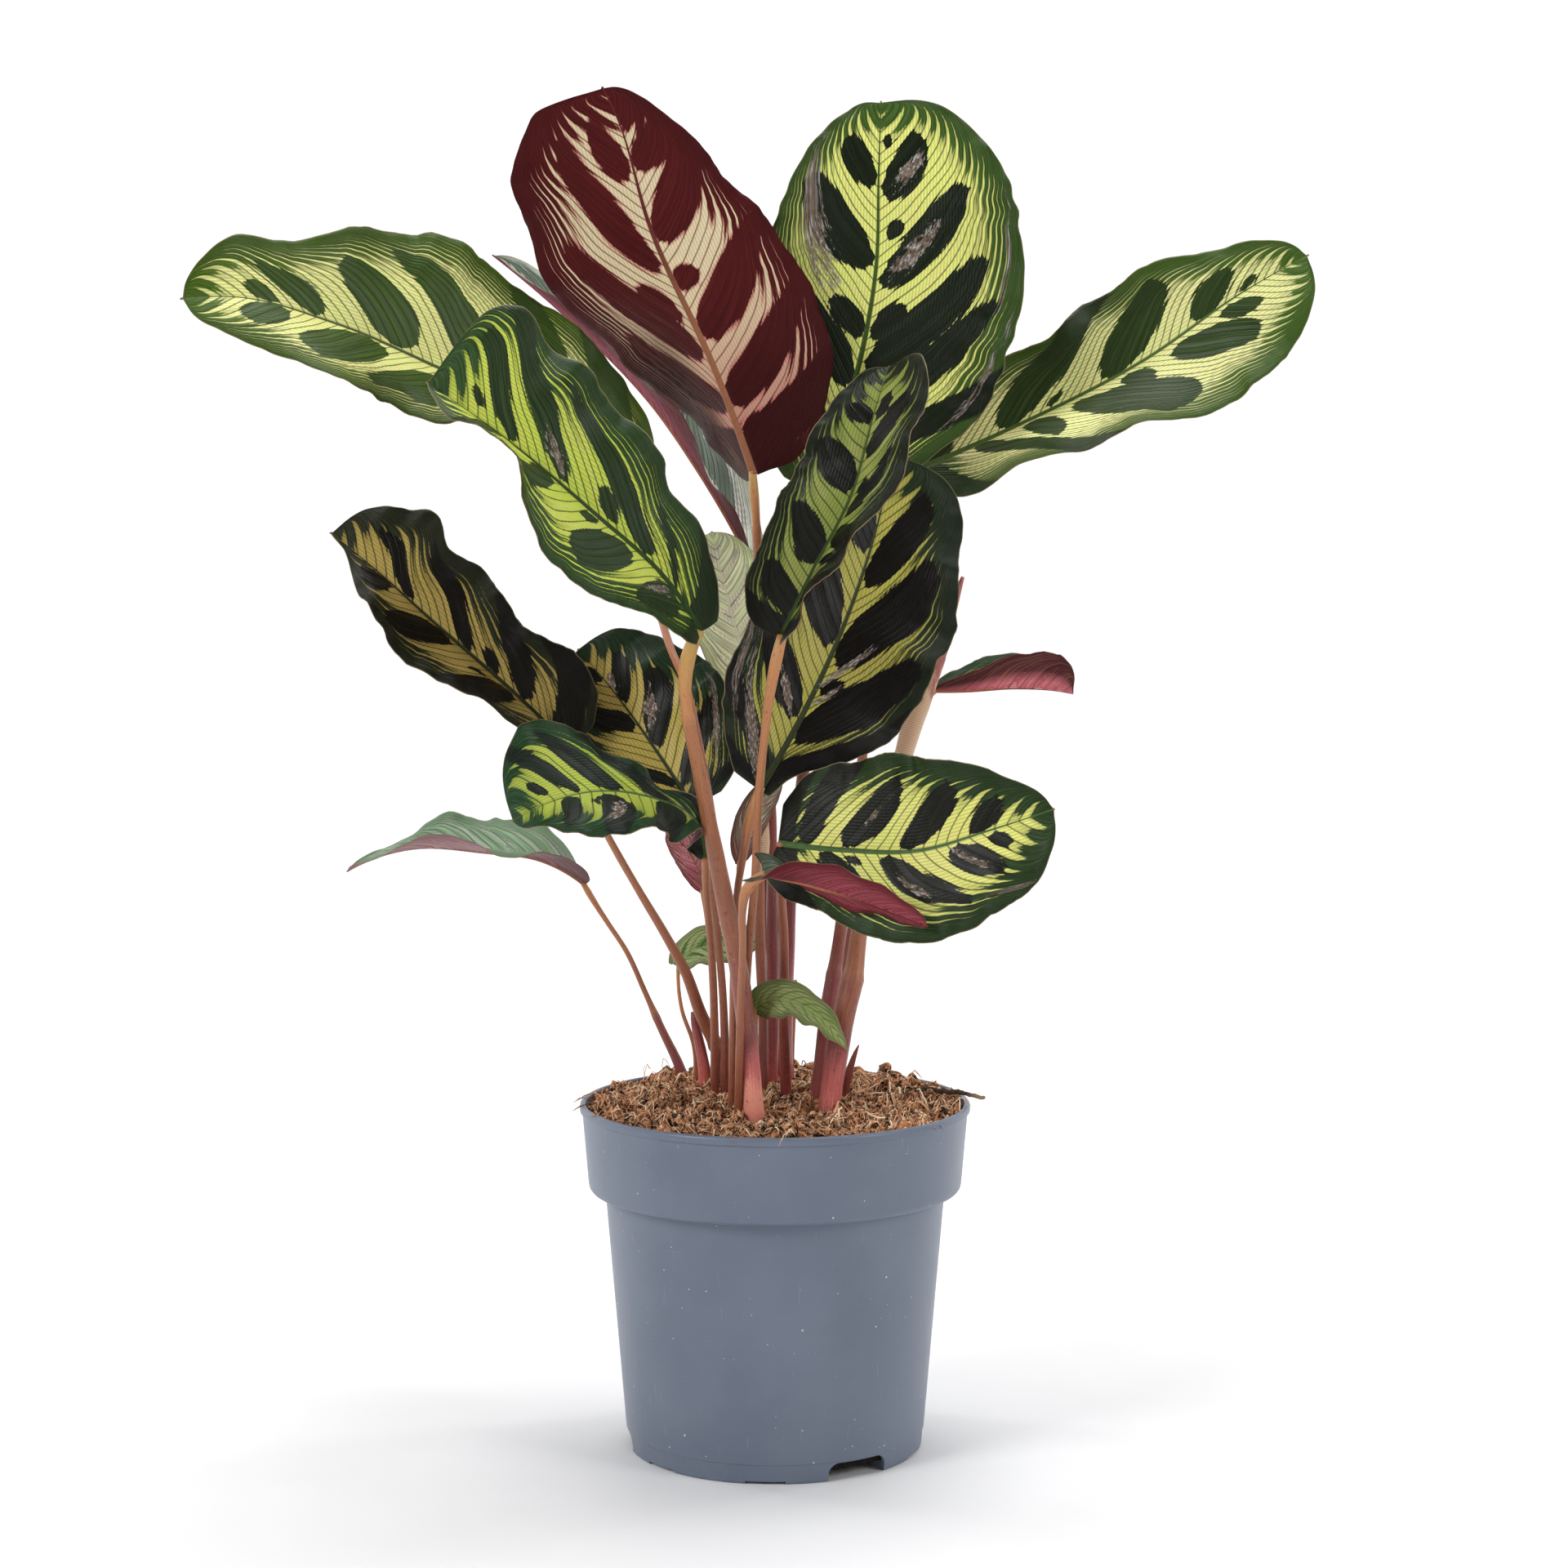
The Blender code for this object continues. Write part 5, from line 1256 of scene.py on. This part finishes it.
def make_blade(name, spec, marks, palette, edge, seed):
    """A fine closed blade with a grooved upper side and a raised midrib below."""
    spec = dict(spec, seed=seed, length=smooth_path(spec["spine"])[1][-1])
    t_row, v_row = blade_grid(spec)
    grid = (len(t_row), len(v_row))
    t, v = [a.ravel() for a in np.meshgrid(t_row, v_row, indexing="ij")]
    middle = blade_points(spec, t, v).reshape(*grid, 3)
    normal = unit(np.cross(np.gradient(middle, axis=1), np.gradient(middle, axis=0)))
    middle = middle + normal * relief(spec, marks, t, v).reshape(*grid, 1)

    fields = blade_fields(spec, marks, t, v)
    size = min(1.0, spec["length"] / RIDGE_FULL_LENGTH)
    offset = (fields["reach"] / (RIDGE_WIDTH_MM * size)).reshape(grid)
    grown = (np.clip(1 - t, 0, 1) ** 0.8 * size).reshape(grid)
    half_thick = EDGE_HALF_THICKNESS + MIDDLE_EXTRA_THICKNESS * (1 - np.abs(v)).reshape(grid)
    groove = GROOVE_DEPTH * grown * np.exp(-offset ** 2)
    ridge = RIDGE_HEIGHT * grown * np.exp(-(offset * 1.1) ** 2)
    upper = middle + normal * (half_thick - groove)[..., None]
    lower = middle - normal * (half_thick + ridge)[..., None]
    vertices = np.concatenate([upper.reshape(-1, 3), lower.reshape(-1, 3)])
    faces, slots = blade_faces(*grid)
    streak = 0.17 * max(max(row) for row in spec["width"])
    vein_tone = 0.72 if marks["bare"] else 0.28
    materials = [upper_material(f"{name}_upper", palette, streak, vein_tone),
                 under_material(f"{name}_under", palette, streak), edge]
    doubled = {key: np.concatenate([value, value]) for key, value in fields.items()}
    return add_piece(name, vertices, faces, materials, slots, doubled)


def leaf_slot(name):
    """The record's finish slot of a leaf."""
    for slot, names in SLOTS.items():
        if name in names:
            return slot
    return OTHER_SLOT


def make_leaves():
    """Every open blade."""
    edge = rim_material()
    for seed, (name, spec) in enumerate(LEAVES.items(), 1):
        piece = make_blade(f"blade_{name}", spec, PATTERNS[name], COLOURS[name], edge, seed)
        place(piece, leaf_slot(name), f"leaf_{name}")


# Stems and rolled leaves


def ring_angles(sides):
    """Angles of a ring's points."""
    return 2 * np.pi * np.arange(sides) / sides


def tube(points, radii, sides, shape=1.0):
    """Vertices and faces of a closed tube; shape scales each ring's points."""
    across, up = ring_frames(points)
    angles = ring_angles(sides)[None, :, None]
    ring = np.cos(angles) * across[:, None] + np.sin(angles) * up[:, None]
    radius = np.asarray(radii)[:, None] * (np.ones(sides) * shape)
    vertices = (points[:, None] + ring * radius[..., None]).reshape(-1, 3)
    index = np.arange(len(vertices)).reshape(-1, sides)
    turned = np.roll(index, -1, axis=1)
    faces = np.stack([index[:-1], turned[:-1], turned[1:], index[1:]], -1).reshape(-1, 4).tolist()
    first, last = len(vertices), len(vertices) + 1
    vertices = np.vstack([vertices, points[0], points[-1]])
    for j in range(sides):
        faces.append([first, turned[0, j], index[0, j]])
        faces.append([last, index[-1, j], turned[-1, j]])
    return vertices, faces


def on_tube(rows, sides):
    """A number for each point of a tube and its two ends, from a value or a row for each ring."""
    rows = np.broadcast_to(np.reshape(rows, (len(rows), -1)), (len(rows), sides))
    return np.append(rows, [rows[0].mean(), rows[-1].mean()])


def radius_along(path, radius, t):
    """Length along the path's straight pieces at fractions t, and the radius there."""
    chord = lengths(path)
    return t * chord[-1], np.interp(t * chord[-1], chord, radius)


def stem_radius(spec, length, radii, heights):
    """Radius with the sheath's step, the swollen top and a slightly uneven surface."""
    if spec["joint"] is not None:
        near = np.exp(-((heights - spec["joint"]) / SHEATH_LIP_SIZE) ** 2)
        fit = np.where(heights > spec["joint"], SHEATH_FIT[1], SHEATH_FIT[0])
        radii = radii * fit + SHEATH_LIP * near
    if spec["swollen"]:
        from_top = (length[-1] - length) / spec["swollen"]
        radii = radii * (1 + 0.22 * np.clip(1.15 - np.abs(from_top - 0.55) * 1.6, 0, 1))
    return radii * (1 + 0.02 * wobble(length / 0.03, 5))


def stem_fields(spec, length, heights, t):
    """The stem's tone, its leaf scar and its darker foot just above the soil, ring by ring."""
    low, high = spec["tone"]
    tone = low + (high - low) * t ** 1.2
    if spec["swollen"]:
        tone = tone + 0.2 * np.clip(1.2 - (length[-1] - length) / spec["swollen"], 0, 1)
    tone = tone - spec["blush"] * np.clip((BLUSH_TOP - heights) / BLUSH_FADE, 0, 1)
    scar = np.zeros(len(t))
    if spec["joint"] is not None:
        scar = np.exp(-((heights - spec["joint"]) / SCAR_SIZE) ** 2)
        tone = tone + np.where(heights > spec["joint"], 0.12, -0.05)
    foot = np.clip((FOOT_TOP - heights) / FOOT_FADE, 0, 1)
    return dict(tone=tone, length=length / MM, scar=scar, foot=foot)


def make_stem(name, spec, material, target, seed):
    """A stem from below the soil's surface to the base of its leaf, or to a bare tip."""
    path, radius = spec["path"], spec["radius"]
    down = unit(path[0] - path[1])
    path = np.vstack([path[0] + down * STEM_SUNK, path])
    radius = np.append(radius[0], radius)
    if target is not None:
        path = np.vstack([path, target])
        radius = np.append(radius, radius[-1] * 0.9)
    total = lengths(path)[-1]
    t = np.linspace(0, 1, max(8, round(total / STEM_RING_STEP)))
    points = path_points(path, t)
    heights = points[:, 2]
    length, radii = radius_along(path, radius, t)
    radii = stem_radius(spec, length, radii, heights)
    if target is None:
        radii = radii * np.clip((1 - t) * total / SHOOT_TIP, 0.25, 1) ** 0.5
    around = np.abs(ring_angles(STEM_SIDES) - np.pi)
    fluted = 1 - STEM_FLUTE * np.exp(-(around / 0.5) ** 2)
    vertices, faces = tube(points, radii, STEM_SIDES, fluted)
    fields = {key: on_tube(values, STEM_SIDES)
              for key, values in stem_fields(spec, length, heights, t).items()}
    fields["around"] = np.append(np.tile(around, len(t)), [0, 0])
    fields["seed"] = np.full(len(vertices), 3.0 * seed)
    return add_piece(name, vertices, faces, [material], fields=fields)


def make_stems():
    """Every leaf stem and bare shoot."""
    material = stem_material()
    for seed, (name, spec) in enumerate(STEMS.items(), 1):
        if name in LEAVES:
            spine = LEAVES[name]["spine"]
            target = spine[0] + STEM_INTO_BLADE * unit(spine[1] - spine[0])
        else:
            target = np.array(ROLLED_LEAVES[name]["path"][0], float) * MM
        piece = make_stem(f"stalk_{name}", spec, material, target, seed)
        place(piece, "stem", f"stem_{name}")
    for seed, (name, spec) in enumerate(SHOOTS.items(), 40):
        piece = make_stem(f"bare_{name}", spec, material, None, seed)
        place(piece, "stem", name)


def make_rolled_leaf(name, spec, material):
    """A rolled leaf, with the outer edge lying on the roll as a spiral step."""
    path = np.array(spec["path"], float) * MM
    total = smooth_path(path)[1][-1]
    t = np.linspace(0, 1, max(20, round(total / ROLL_RING_STEP)))
    _, radii = radius_along(path, np.array(spec["radius"]) * MM, t)
    radii = radii * np.clip(t / 0.03, 0.8, 1)
    turn = (np.arange(ROLL_SIDES) / ROLL_SIDES + ROLL_TURNS * t[:, None]) % 1.0
    vertices, faces = tube(path_points(path, t), radii, ROLL_SIDES, 0.90 + 0.16 * turn)
    numbers = dict(t=t, length=t * total / MM, turn=np.abs(turn - 0.5),
                   seam=np.clip(1 - turn / ROLL_SEAM, 0, 1))
    fields = {key: on_tube(rows, ROLL_SIDES) for key, rows in numbers.items()}
    return add_piece(f"roll_{name}", vertices, faces, [material], fields=fields)


def make_rolled_leaves():
    """Leaves still rolled up."""
    material = rolled_material()
    for name, spec in ROLLED_LEAVES.items():
        place(make_rolled_leaf(name, spec, material), leaf_slot(name), f"leaf_{name}")


# Pot


def rounded(corners, steps=5):
    """Profile points with each corner (radius, height, rounding) turned into a small arc."""
    points = []
    for i, (x, z, size) in enumerate(corners):
        here = np.array([x, z])
        before = np.array(corners[i - 1][:2]) - here
        after = np.array(corners[(i + 1) % len(corners)][:2]) - here
        start = here + before / np.linalg.norm(before) * size
        end = here + after / np.linalg.norm(after) * size
        for k in np.linspace(0, 1, steps):
            points.append((1 - k) ** 2 * start + 2 * k * (1 - k) * here + k ** 2 * end)
    return points


def lathe(profile, segments):
    """Vertices and faces of a profile (radius, height) turned about Z."""
    vertices = []
    rings = []
    for radius, height in profile:
        if radius < 1e-9:
            rings.append([len(vertices)])
            vertices.append((0.0, 0.0, height))
            continue
        rings.append(list(range(len(vertices), len(vertices) + segments)))
        for k in range(segments):
            angle = 2 * math.pi * (k + 0.5) / segments
            vertices.append((radius * math.cos(angle), radius * math.sin(angle), height))
    faces = []
    for lower, upper in zip(rings, rings[1:]):
        for k in range(segments):
            n = (k + 1) % segments
            if len(lower) == 1:
                faces.append([lower[0], upper[n], upper[k]])
            elif len(upper) == 1:
                faces.append([lower[k], lower[n], upper[0]])
            else:
                faces.append([lower[k], lower[n], upper[n], upper[k]])
    return vertices, faces


def pot_profile():
    """Profile of the pot's wall: up the outside, over the rim, down the inside."""
    lip_bottom = POT_HEIGHT - LIP_HEIGHT
    slope = (BODY_TOP_RADIUS - BASE_RADIUS) / COLLAR_BOTTOM
    line_radius = BASE_RADIUS + slope * BASE_LINE_HEIGHT
    return [(0.0, FOOT_HEIGHT)] + rounded([
        (BASE_RADIUS - FOOT_WIDTH, FOOT_HEIGHT, 0.0003),
        (BASE_RADIUS - FOOT_WIDTH, 0.0, 0.0004),
        (BASE_RADIUS, 0.0, 0.0009),
        (line_radius, BASE_LINE_HEIGHT, 0.0002),
        (line_radius + BASE_LINE_STEP, BASE_LINE_HEIGHT + 0.0002, 0.0001),
        (BODY_TOP_RADIUS, COLLAR_BOTTOM, 0.0007),
        (COLLAR_BOTTOM_RADIUS, COLLAR_BOTTOM, 0.0022),
        (RIM_RADIUS - LIP_OVERHANG, lip_bottom, 0.0003),
        (RIM_RADIUS, lip_bottom + 0.0004, 0.0004),
        (RIM_RADIUS, POT_HEIGHT, 0.0011),
        (RIM_RADIUS - RIM_THICKNESS, POT_HEIGHT, 0.0007),
        (COLLAR_BOTTOM_RADIUS - WALL, COLLAR_BOTTOM + LEDGE_SLOPE, 0.001),
        (BODY_TOP_RADIUS - WALL, COLLAR_BOTTOM - WALL, 0.001),
        (BASE_RADIUS - WALL, FLOOR_TOP, 0.0006),
    ]) + [(0.0, FLOOR_TOP)]


def radial_prism(outline, inner, azimuth):
    """An upright outline (across, up) swept from the pot's inside out past its wall."""
    turn = math.radians(azimuth)
    outward = np.array([math.sin(turn), -math.cos(turn), 0.0])
    across = np.array([math.cos(turn), math.sin(turn), 0.0])
    rise = np.array([0.0, 0.0, 1.0])
    vertices = []
    for radius in (inner, COLLAR_BOTTOM_RADIUS):
        vertices += [outward * radius + across * x + rise * z for x, z in outline]
    count = len(outline)
    faces = [list(range(count)), [count + i for i in range(count)][::-1]]
    for i in range(count):
        j = (i + 1) % count
        faces.append([j, i, count + i, count + j])
    return vertices, faces


def arch_cutter(azimuth):
    """A rounded block that cuts one drainage arch at an azimuth from the front."""
    half = ARCH_WIDTH / 2
    outline = [(-half, -CUT_MARGIN), (half, -CUT_MARGIN)]
    for side in (1, -1):
        for angle in np.radians(np.linspace(0, 90, 9)[::side]):
            outline.append((side * (half - ARCH_CORNER + ARCH_CORNER * math.cos(angle)),
                            ARCH_HEIGHT - ARCH_CORNER + ARCH_CORNER * math.sin(angle)))
    return radial_prism(outline, BASE_RADIUS - ARCH_DEPTH, azimuth)


def recess_cutter(azimuth):
    """A shallow block that lifts a stretch of the foot ring off the surface."""
    half = RECESS_WIDTH / 2
    outline = [(-half, -CUT_MARGIN), (half, -CUT_MARGIN), (half, RECESS_HEIGHT),
               (-half, RECESS_HEIGHT)]
    return radial_prism(outline, BASE_RADIUS - FOOT_WIDTH - CUT_MARGIN, azimuth)


def cut(piece, shapes):
    """Cut closed shapes out of a piece, for good."""
    cutters = []
    for number, (vertices, faces) in enumerate(shapes):
        cutter = add_piece(f"cutter_{number}", vertices, faces, piece.data.materials, smooth=False)
        mesh = bmesh.new()
        mesh.from_mesh(cutter.data)
        bmesh.ops.recalc_face_normals(mesh, faces=mesh.faces)
        mesh.to_mesh(cutter.data)
        mesh.free()
        change = piece.modifiers.new(cutter.name, "BOOLEAN")
        change.operation = "DIFFERENCE"
        change.object = cutter
        cutters.append(cutter)
    evaluated = piece.evaluated_get(bpy.context.evaluated_depsgraph_get())
    shape = bpy.data.meshes.new_from_object(evaluated)
    piece.modifiers.clear()
    piece.data = shape
    for cutter in cutters:
        bpy.data.objects.remove(cutter, do_unlink=True)


def make_pot():
    """The pot: rounded wall, collar, rim, foot pads, moulded line and drainage arches."""
    pot = add_piece("pot_shell", *lathe(pot_profile(), POT_SEGMENTS), [pot_material()])
    shapes = [arch_cutter(azimuth) for azimuth in ARCH_AZIMUTHS]
    for azimuth in ARCH_AZIMUTHS:
        for offset in RECESS_OFFSETS:
            shapes.append(recess_cutter(azimuth + HALF_ARCH_SPACING + offset))
    cut(pot, shapes)
    pot.data.set_sharp_from_angle(angle=math.radians(POT_SHARP_ANGLE))
    place(pot, "pot", "pot")


# Soil


def soil_height(x, y):
    """Height of the soil's surface, as in the part."""
    back = np.clip((y / RIM_RADIUS + 0.4) / 1.4, 0, 1)
    inside = 1 - min(1.0, math.hypot(x, y) / (RIM_RADIUS - RIM_THICKNESS)) ** 4
    ripple = SOIL_RIPPLE * math.sin(140 * x + 0.6) * math.cos(120 * y)
    return SOIL_EDGE_HEIGHT + SOIL_BACK_RISE * back * inside + ripple


def soil_top(x, y):
    """Height of the crumbly surface."""
    height = soil_height(x, y)
    for size, depth in SOIL_LUMPS:
        height += depth * noise.noise(Vector((x / size, y / size, 3.0 * size / MM)))
    return height


def make_soil():
    """The root ball: a crumbly top on the inside of the pot."""
    edge = RIM_RADIUS - RIM_THICKNESS - SOIL_EDGE_GAP
    wall = [
        (0.0, FLOOR_TOP + SOIL_GAP),
        (BASE_RADIUS - WALL - SOIL_GAP, FLOOR_TOP + SOIL_GAP),
        (BODY_TOP_RADIUS - WALL - SOIL_GAP, COLLAR_BOTTOM - WALL),
        (COLLAR_BOTTOM_RADIUS - WALL - SOIL_EDGE_GAP, COLLAR_BOTTOM + LEDGE_SLOPE + SOIL_GAP),
        (edge, SOIL_EDGE_HEIGHT - SOIL_EDGE_DROP),
    ]
    on_top = 1.0
    top = [(edge * k / SOIL_RINGS, on_top) for k in range(SOIL_RINGS, -1, -1)]
    vertices, faces = lathe(wall + top, SOIL_SEGMENTS)
    surface = [(x, y, soil_top(x, y) if z == on_top else z) for x, y, z in vertices]
    deep = [float(height < COLLAR_BOTTOM) for _, _, height in surface]
    material = soil_material("soil", (28, 18, 13), (184, 124, 86), (250, 206, 160))
    ball = add_piece("soil_ball", surface, faces, [material], fields=dict(deep=deep))
    place(ball, "soil", "soil")


def random_spot(rng, radius):
    """A random place on the soil, evenly spread."""
    distance = radius * math.sqrt(rng.random())
    angle = rng.uniform(0, 2 * math.pi)
    return distance * math.cos(angle), distance * math.sin(angle)


def draw_fibre(rng, is_rootlet):
    """Points, radius and tone of one fibre, or None where it would cross the rim."""
    x, y = random_spot(rng, FIBRE_EDGE)
    heading = rng.uniform(0, 2 * math.pi)
    bend = rng.normal(0, FIBRE_BEND)
    length = rng.uniform(*FIBRE_LENGTH)
    radius = rng.uniform(*FIBRE_RADIUS)
    lift = rng.uniform(0.0, FIBRE_LIFT)
    tone = rng.random()
    if is_rootlet:
        length, radius, lift = 2 * length, radius + ROOTLET_EXTRA_RADIUS, 2 * lift
        tone = 0.6 + 0.4 * tone
    points = []
    for k in range(FIBRE_RINGS):
        points.append((x, y, 0.0))
        angle = heading + bend * k / (FIBRE_RINGS - 1)
        x += math.cos(angle) * length / (FIBRE_RINGS - 1)
        y += math.sin(angle) * length / (FIBRE_RINGS - 1)
    points = np.array(points)
    if np.hypot(points[:, 0], points[:, 1]).max() > RIM_EDGE:
        if rng.random() > OVER_RIM_SHARE:
            return None
        lift += OVER_RIM_LIFT
    arch = np.sin(np.linspace(0, math.pi, FIBRE_RINGS))
    for k, point in enumerate(points):
        inside = min(1.0, RIM_EDGE / max(1e-6, math.hypot(point[0], point[1])))
        ground = soil_top(point[0] * inside, point[1] * inside)
        point[2] = ground + FIBRE_CLEARANCE + lift * arch[k]
    return points, radius, tone


def make_fibres():
    """Coir fibres and pale rootlets that lie over the soil, some of them over the rim."""
    rng = np.random.default_rng(11)
    rings, sides = FIBRE_RINGS, FIBRE_SIDES
    index = np.arange(rings * sides).reshape(rings, sides)
    turned = np.roll(index, -1, axis=1)
    one = np.stack([index[:-1], turned[:-1], turned[1:], index[1:]], -1).reshape(-1, 4).tolist()
    one += [index[0, [0, 2, 1]].tolist(), index[-1].tolist()]
    thick = np.where(np.isin(range(rings), (0, rings - 1)), FIBRE_END, 1.0)
    angles = ring_angles(sides)
    vertices, faces, tones = [], [], []
    for number in range(FIBRE_COUNT):
        drawn = draw_fibre(rng, number < ROOTLET_COUNT)
        if drawn is None:
            continue
        points, radius, tone = drawn
        faces += [[len(vertices) + corner for corner in face] for face in one]
        for point, across, up, size in zip(points, *ring_frames(points), radius * thick):
            vertices += [point + (across * math.cos(a) + up * math.sin(a)) * size for a in angles]
        tones += [tone] * rings * sides
    piece = add_piece("soil_fibres", vertices, faces, [fibre_material()],
                      fields=dict(tone=tones))
    place(piece, "soil")


def make_crumbs():
    """Loose lumps of peat and bark chips on the soil."""
    rng = np.random.default_rng(12)
    ball = bmesh.new()
    bmesh.ops.create_icosphere(ball, subdivisions=2, radius=1.0)
    shape = np.array([v.co[:] for v in ball.verts])
    corners = np.array([[v.index for v in f.verts] for f in ball.faces])
    ball.free()
    vertices, faces = [], []
    for number in range(CRUMB_COUNT):
        x, y = random_spot(rng, CRUMB_EDGE)
        size = CRUMB_SIZES[0] + CRUMB_SIZES[1] * rng.random() ** 2.5
        scale = size * rng.uniform(*CRUMB_STRETCH, 3)
        lumpy = shape * (1 + rng.normal(0, CRUMB_LUMPS, (len(shape), 1)))
        turn = np.linalg.qr(rng.normal(size=(3, 3)))[0]
        vertices.append((lumpy * scale) @ turn + (x, y, soil_top(x, y) + CRUMB_SUNK * size))
        faces.append(corners + number * len(shape))
    material = soil_material("peat_crumb", (30, 18, 12), (206, 144, 102), (255, 224, 182), 1.4)
    piece = add_piece("soil_crumbs", np.concatenate(vertices), np.concatenate(faces), [material])
    place(piece, "soil")


def make_root_twig():
    """The dry root that lies over the rim."""
    path, radius = ROOT_TWIG["path"], ROOT_TWIG["radius"]
    t = np.linspace(0, 1, ROOT_RINGS)
    _, radii = radius_along(path, radius, t)
    radii = radii * (1 + 0.16 * wobble(t * 4, 21))
    sway = np.stack([wobble(t * 3, seed) for seed in (22, 23, 24)], -1)
    points = path_points(path, t) + ROOT_SWAY * sway
    knots = 1 + ROOT_KNOTS * np.random.default_rng(13).normal(size=(len(t), ROOT_SIDES))
    vertices, faces = tube(points, radii, ROOT_SIDES, knots)
    piece = add_piece("root_over_rim", vertices, faces, [root_material()],
                      fields=dict(t=on_tube(t, ROOT_SIDES)))
    place(piece, "root", "root_twig")


# Studio


def make_floor():
    """A wide pale floor that rises into a wall far behind, so that no horizon shows."""
    bend = [(FLOOR_RADIUS + WALL_BEND * math.sin(a), WALL_BEND * (1 - math.cos(a)))
            for a in np.linspace(0, math.pi / 2, WALL_BEND_STEPS)]
    profile = [(radius, 0.0) for radius in FLOOR_RINGS] + bend
    profile.append((FLOOR_RADIUS + WALL_BEND, WALL_TOP))
    vertices, faces = lathe(profile[::-1], FLOOR_SEGMENTS)
    add_piece("floor", vertices, faces, [floor_material()])


def make_light(name, place_at, aim, size, power):
    """A square soft light that points at a spot."""
    data = bpy.data.lights.new(name, "AREA")
    data.size = size
    data.energy = power
    light = bpy.data.objects.new(name, data)
    light.location = place_at
    light.visible_camera = False
    direction = Vector(aim) - Vector(place_at)
    light.rotation_euler = direction.to_track_quat("-Z", "Y").to_euler()
    bpy.context.collection.objects.link(light)


def make_studio():
    """Floor, soft lights and white surroundings."""
    make_floor()
    for name, settings in LIGHTS.items():
        make_light(name, *settings)
    world = bpy.data.worlds.new("studio")
    world.use_nodes = True
    background = world.node_tree.nodes["Background"]
    background.inputs["Color"].default_value = (1.0, 1.0, 1.0, 1.0)
    background.inputs["Strength"].default_value = WORLD_STRENGTH
    bpy.context.scene.world = world
    bpy.context.scene.view_settings.view_transform = "Standard"


def make_camera():
    """Camera at the photograph's viewing angle."""
    data = bpy.data.cameras.new("camera")
    data.sensor_width = SENSOR
    data.lens = SENSOR * FOCAL_PIXELS / IMAGE_SIZE
    camera = bpy.data.objects.new("camera", data)
    camera.location = CAMERA_PLACE
    camera.rotation_euler = (math.radians(CAMERA_PITCH), 0, 0)
    bpy.context.collection.objects.link(camera)
    bpy.context.scene.camera = camera


make_camera()
make_studio()
make_pot()
make_soil()
make_fibres()
make_crumbs()
make_root_twig()
make_stems()
make_rolled_leaves()
make_leaves()
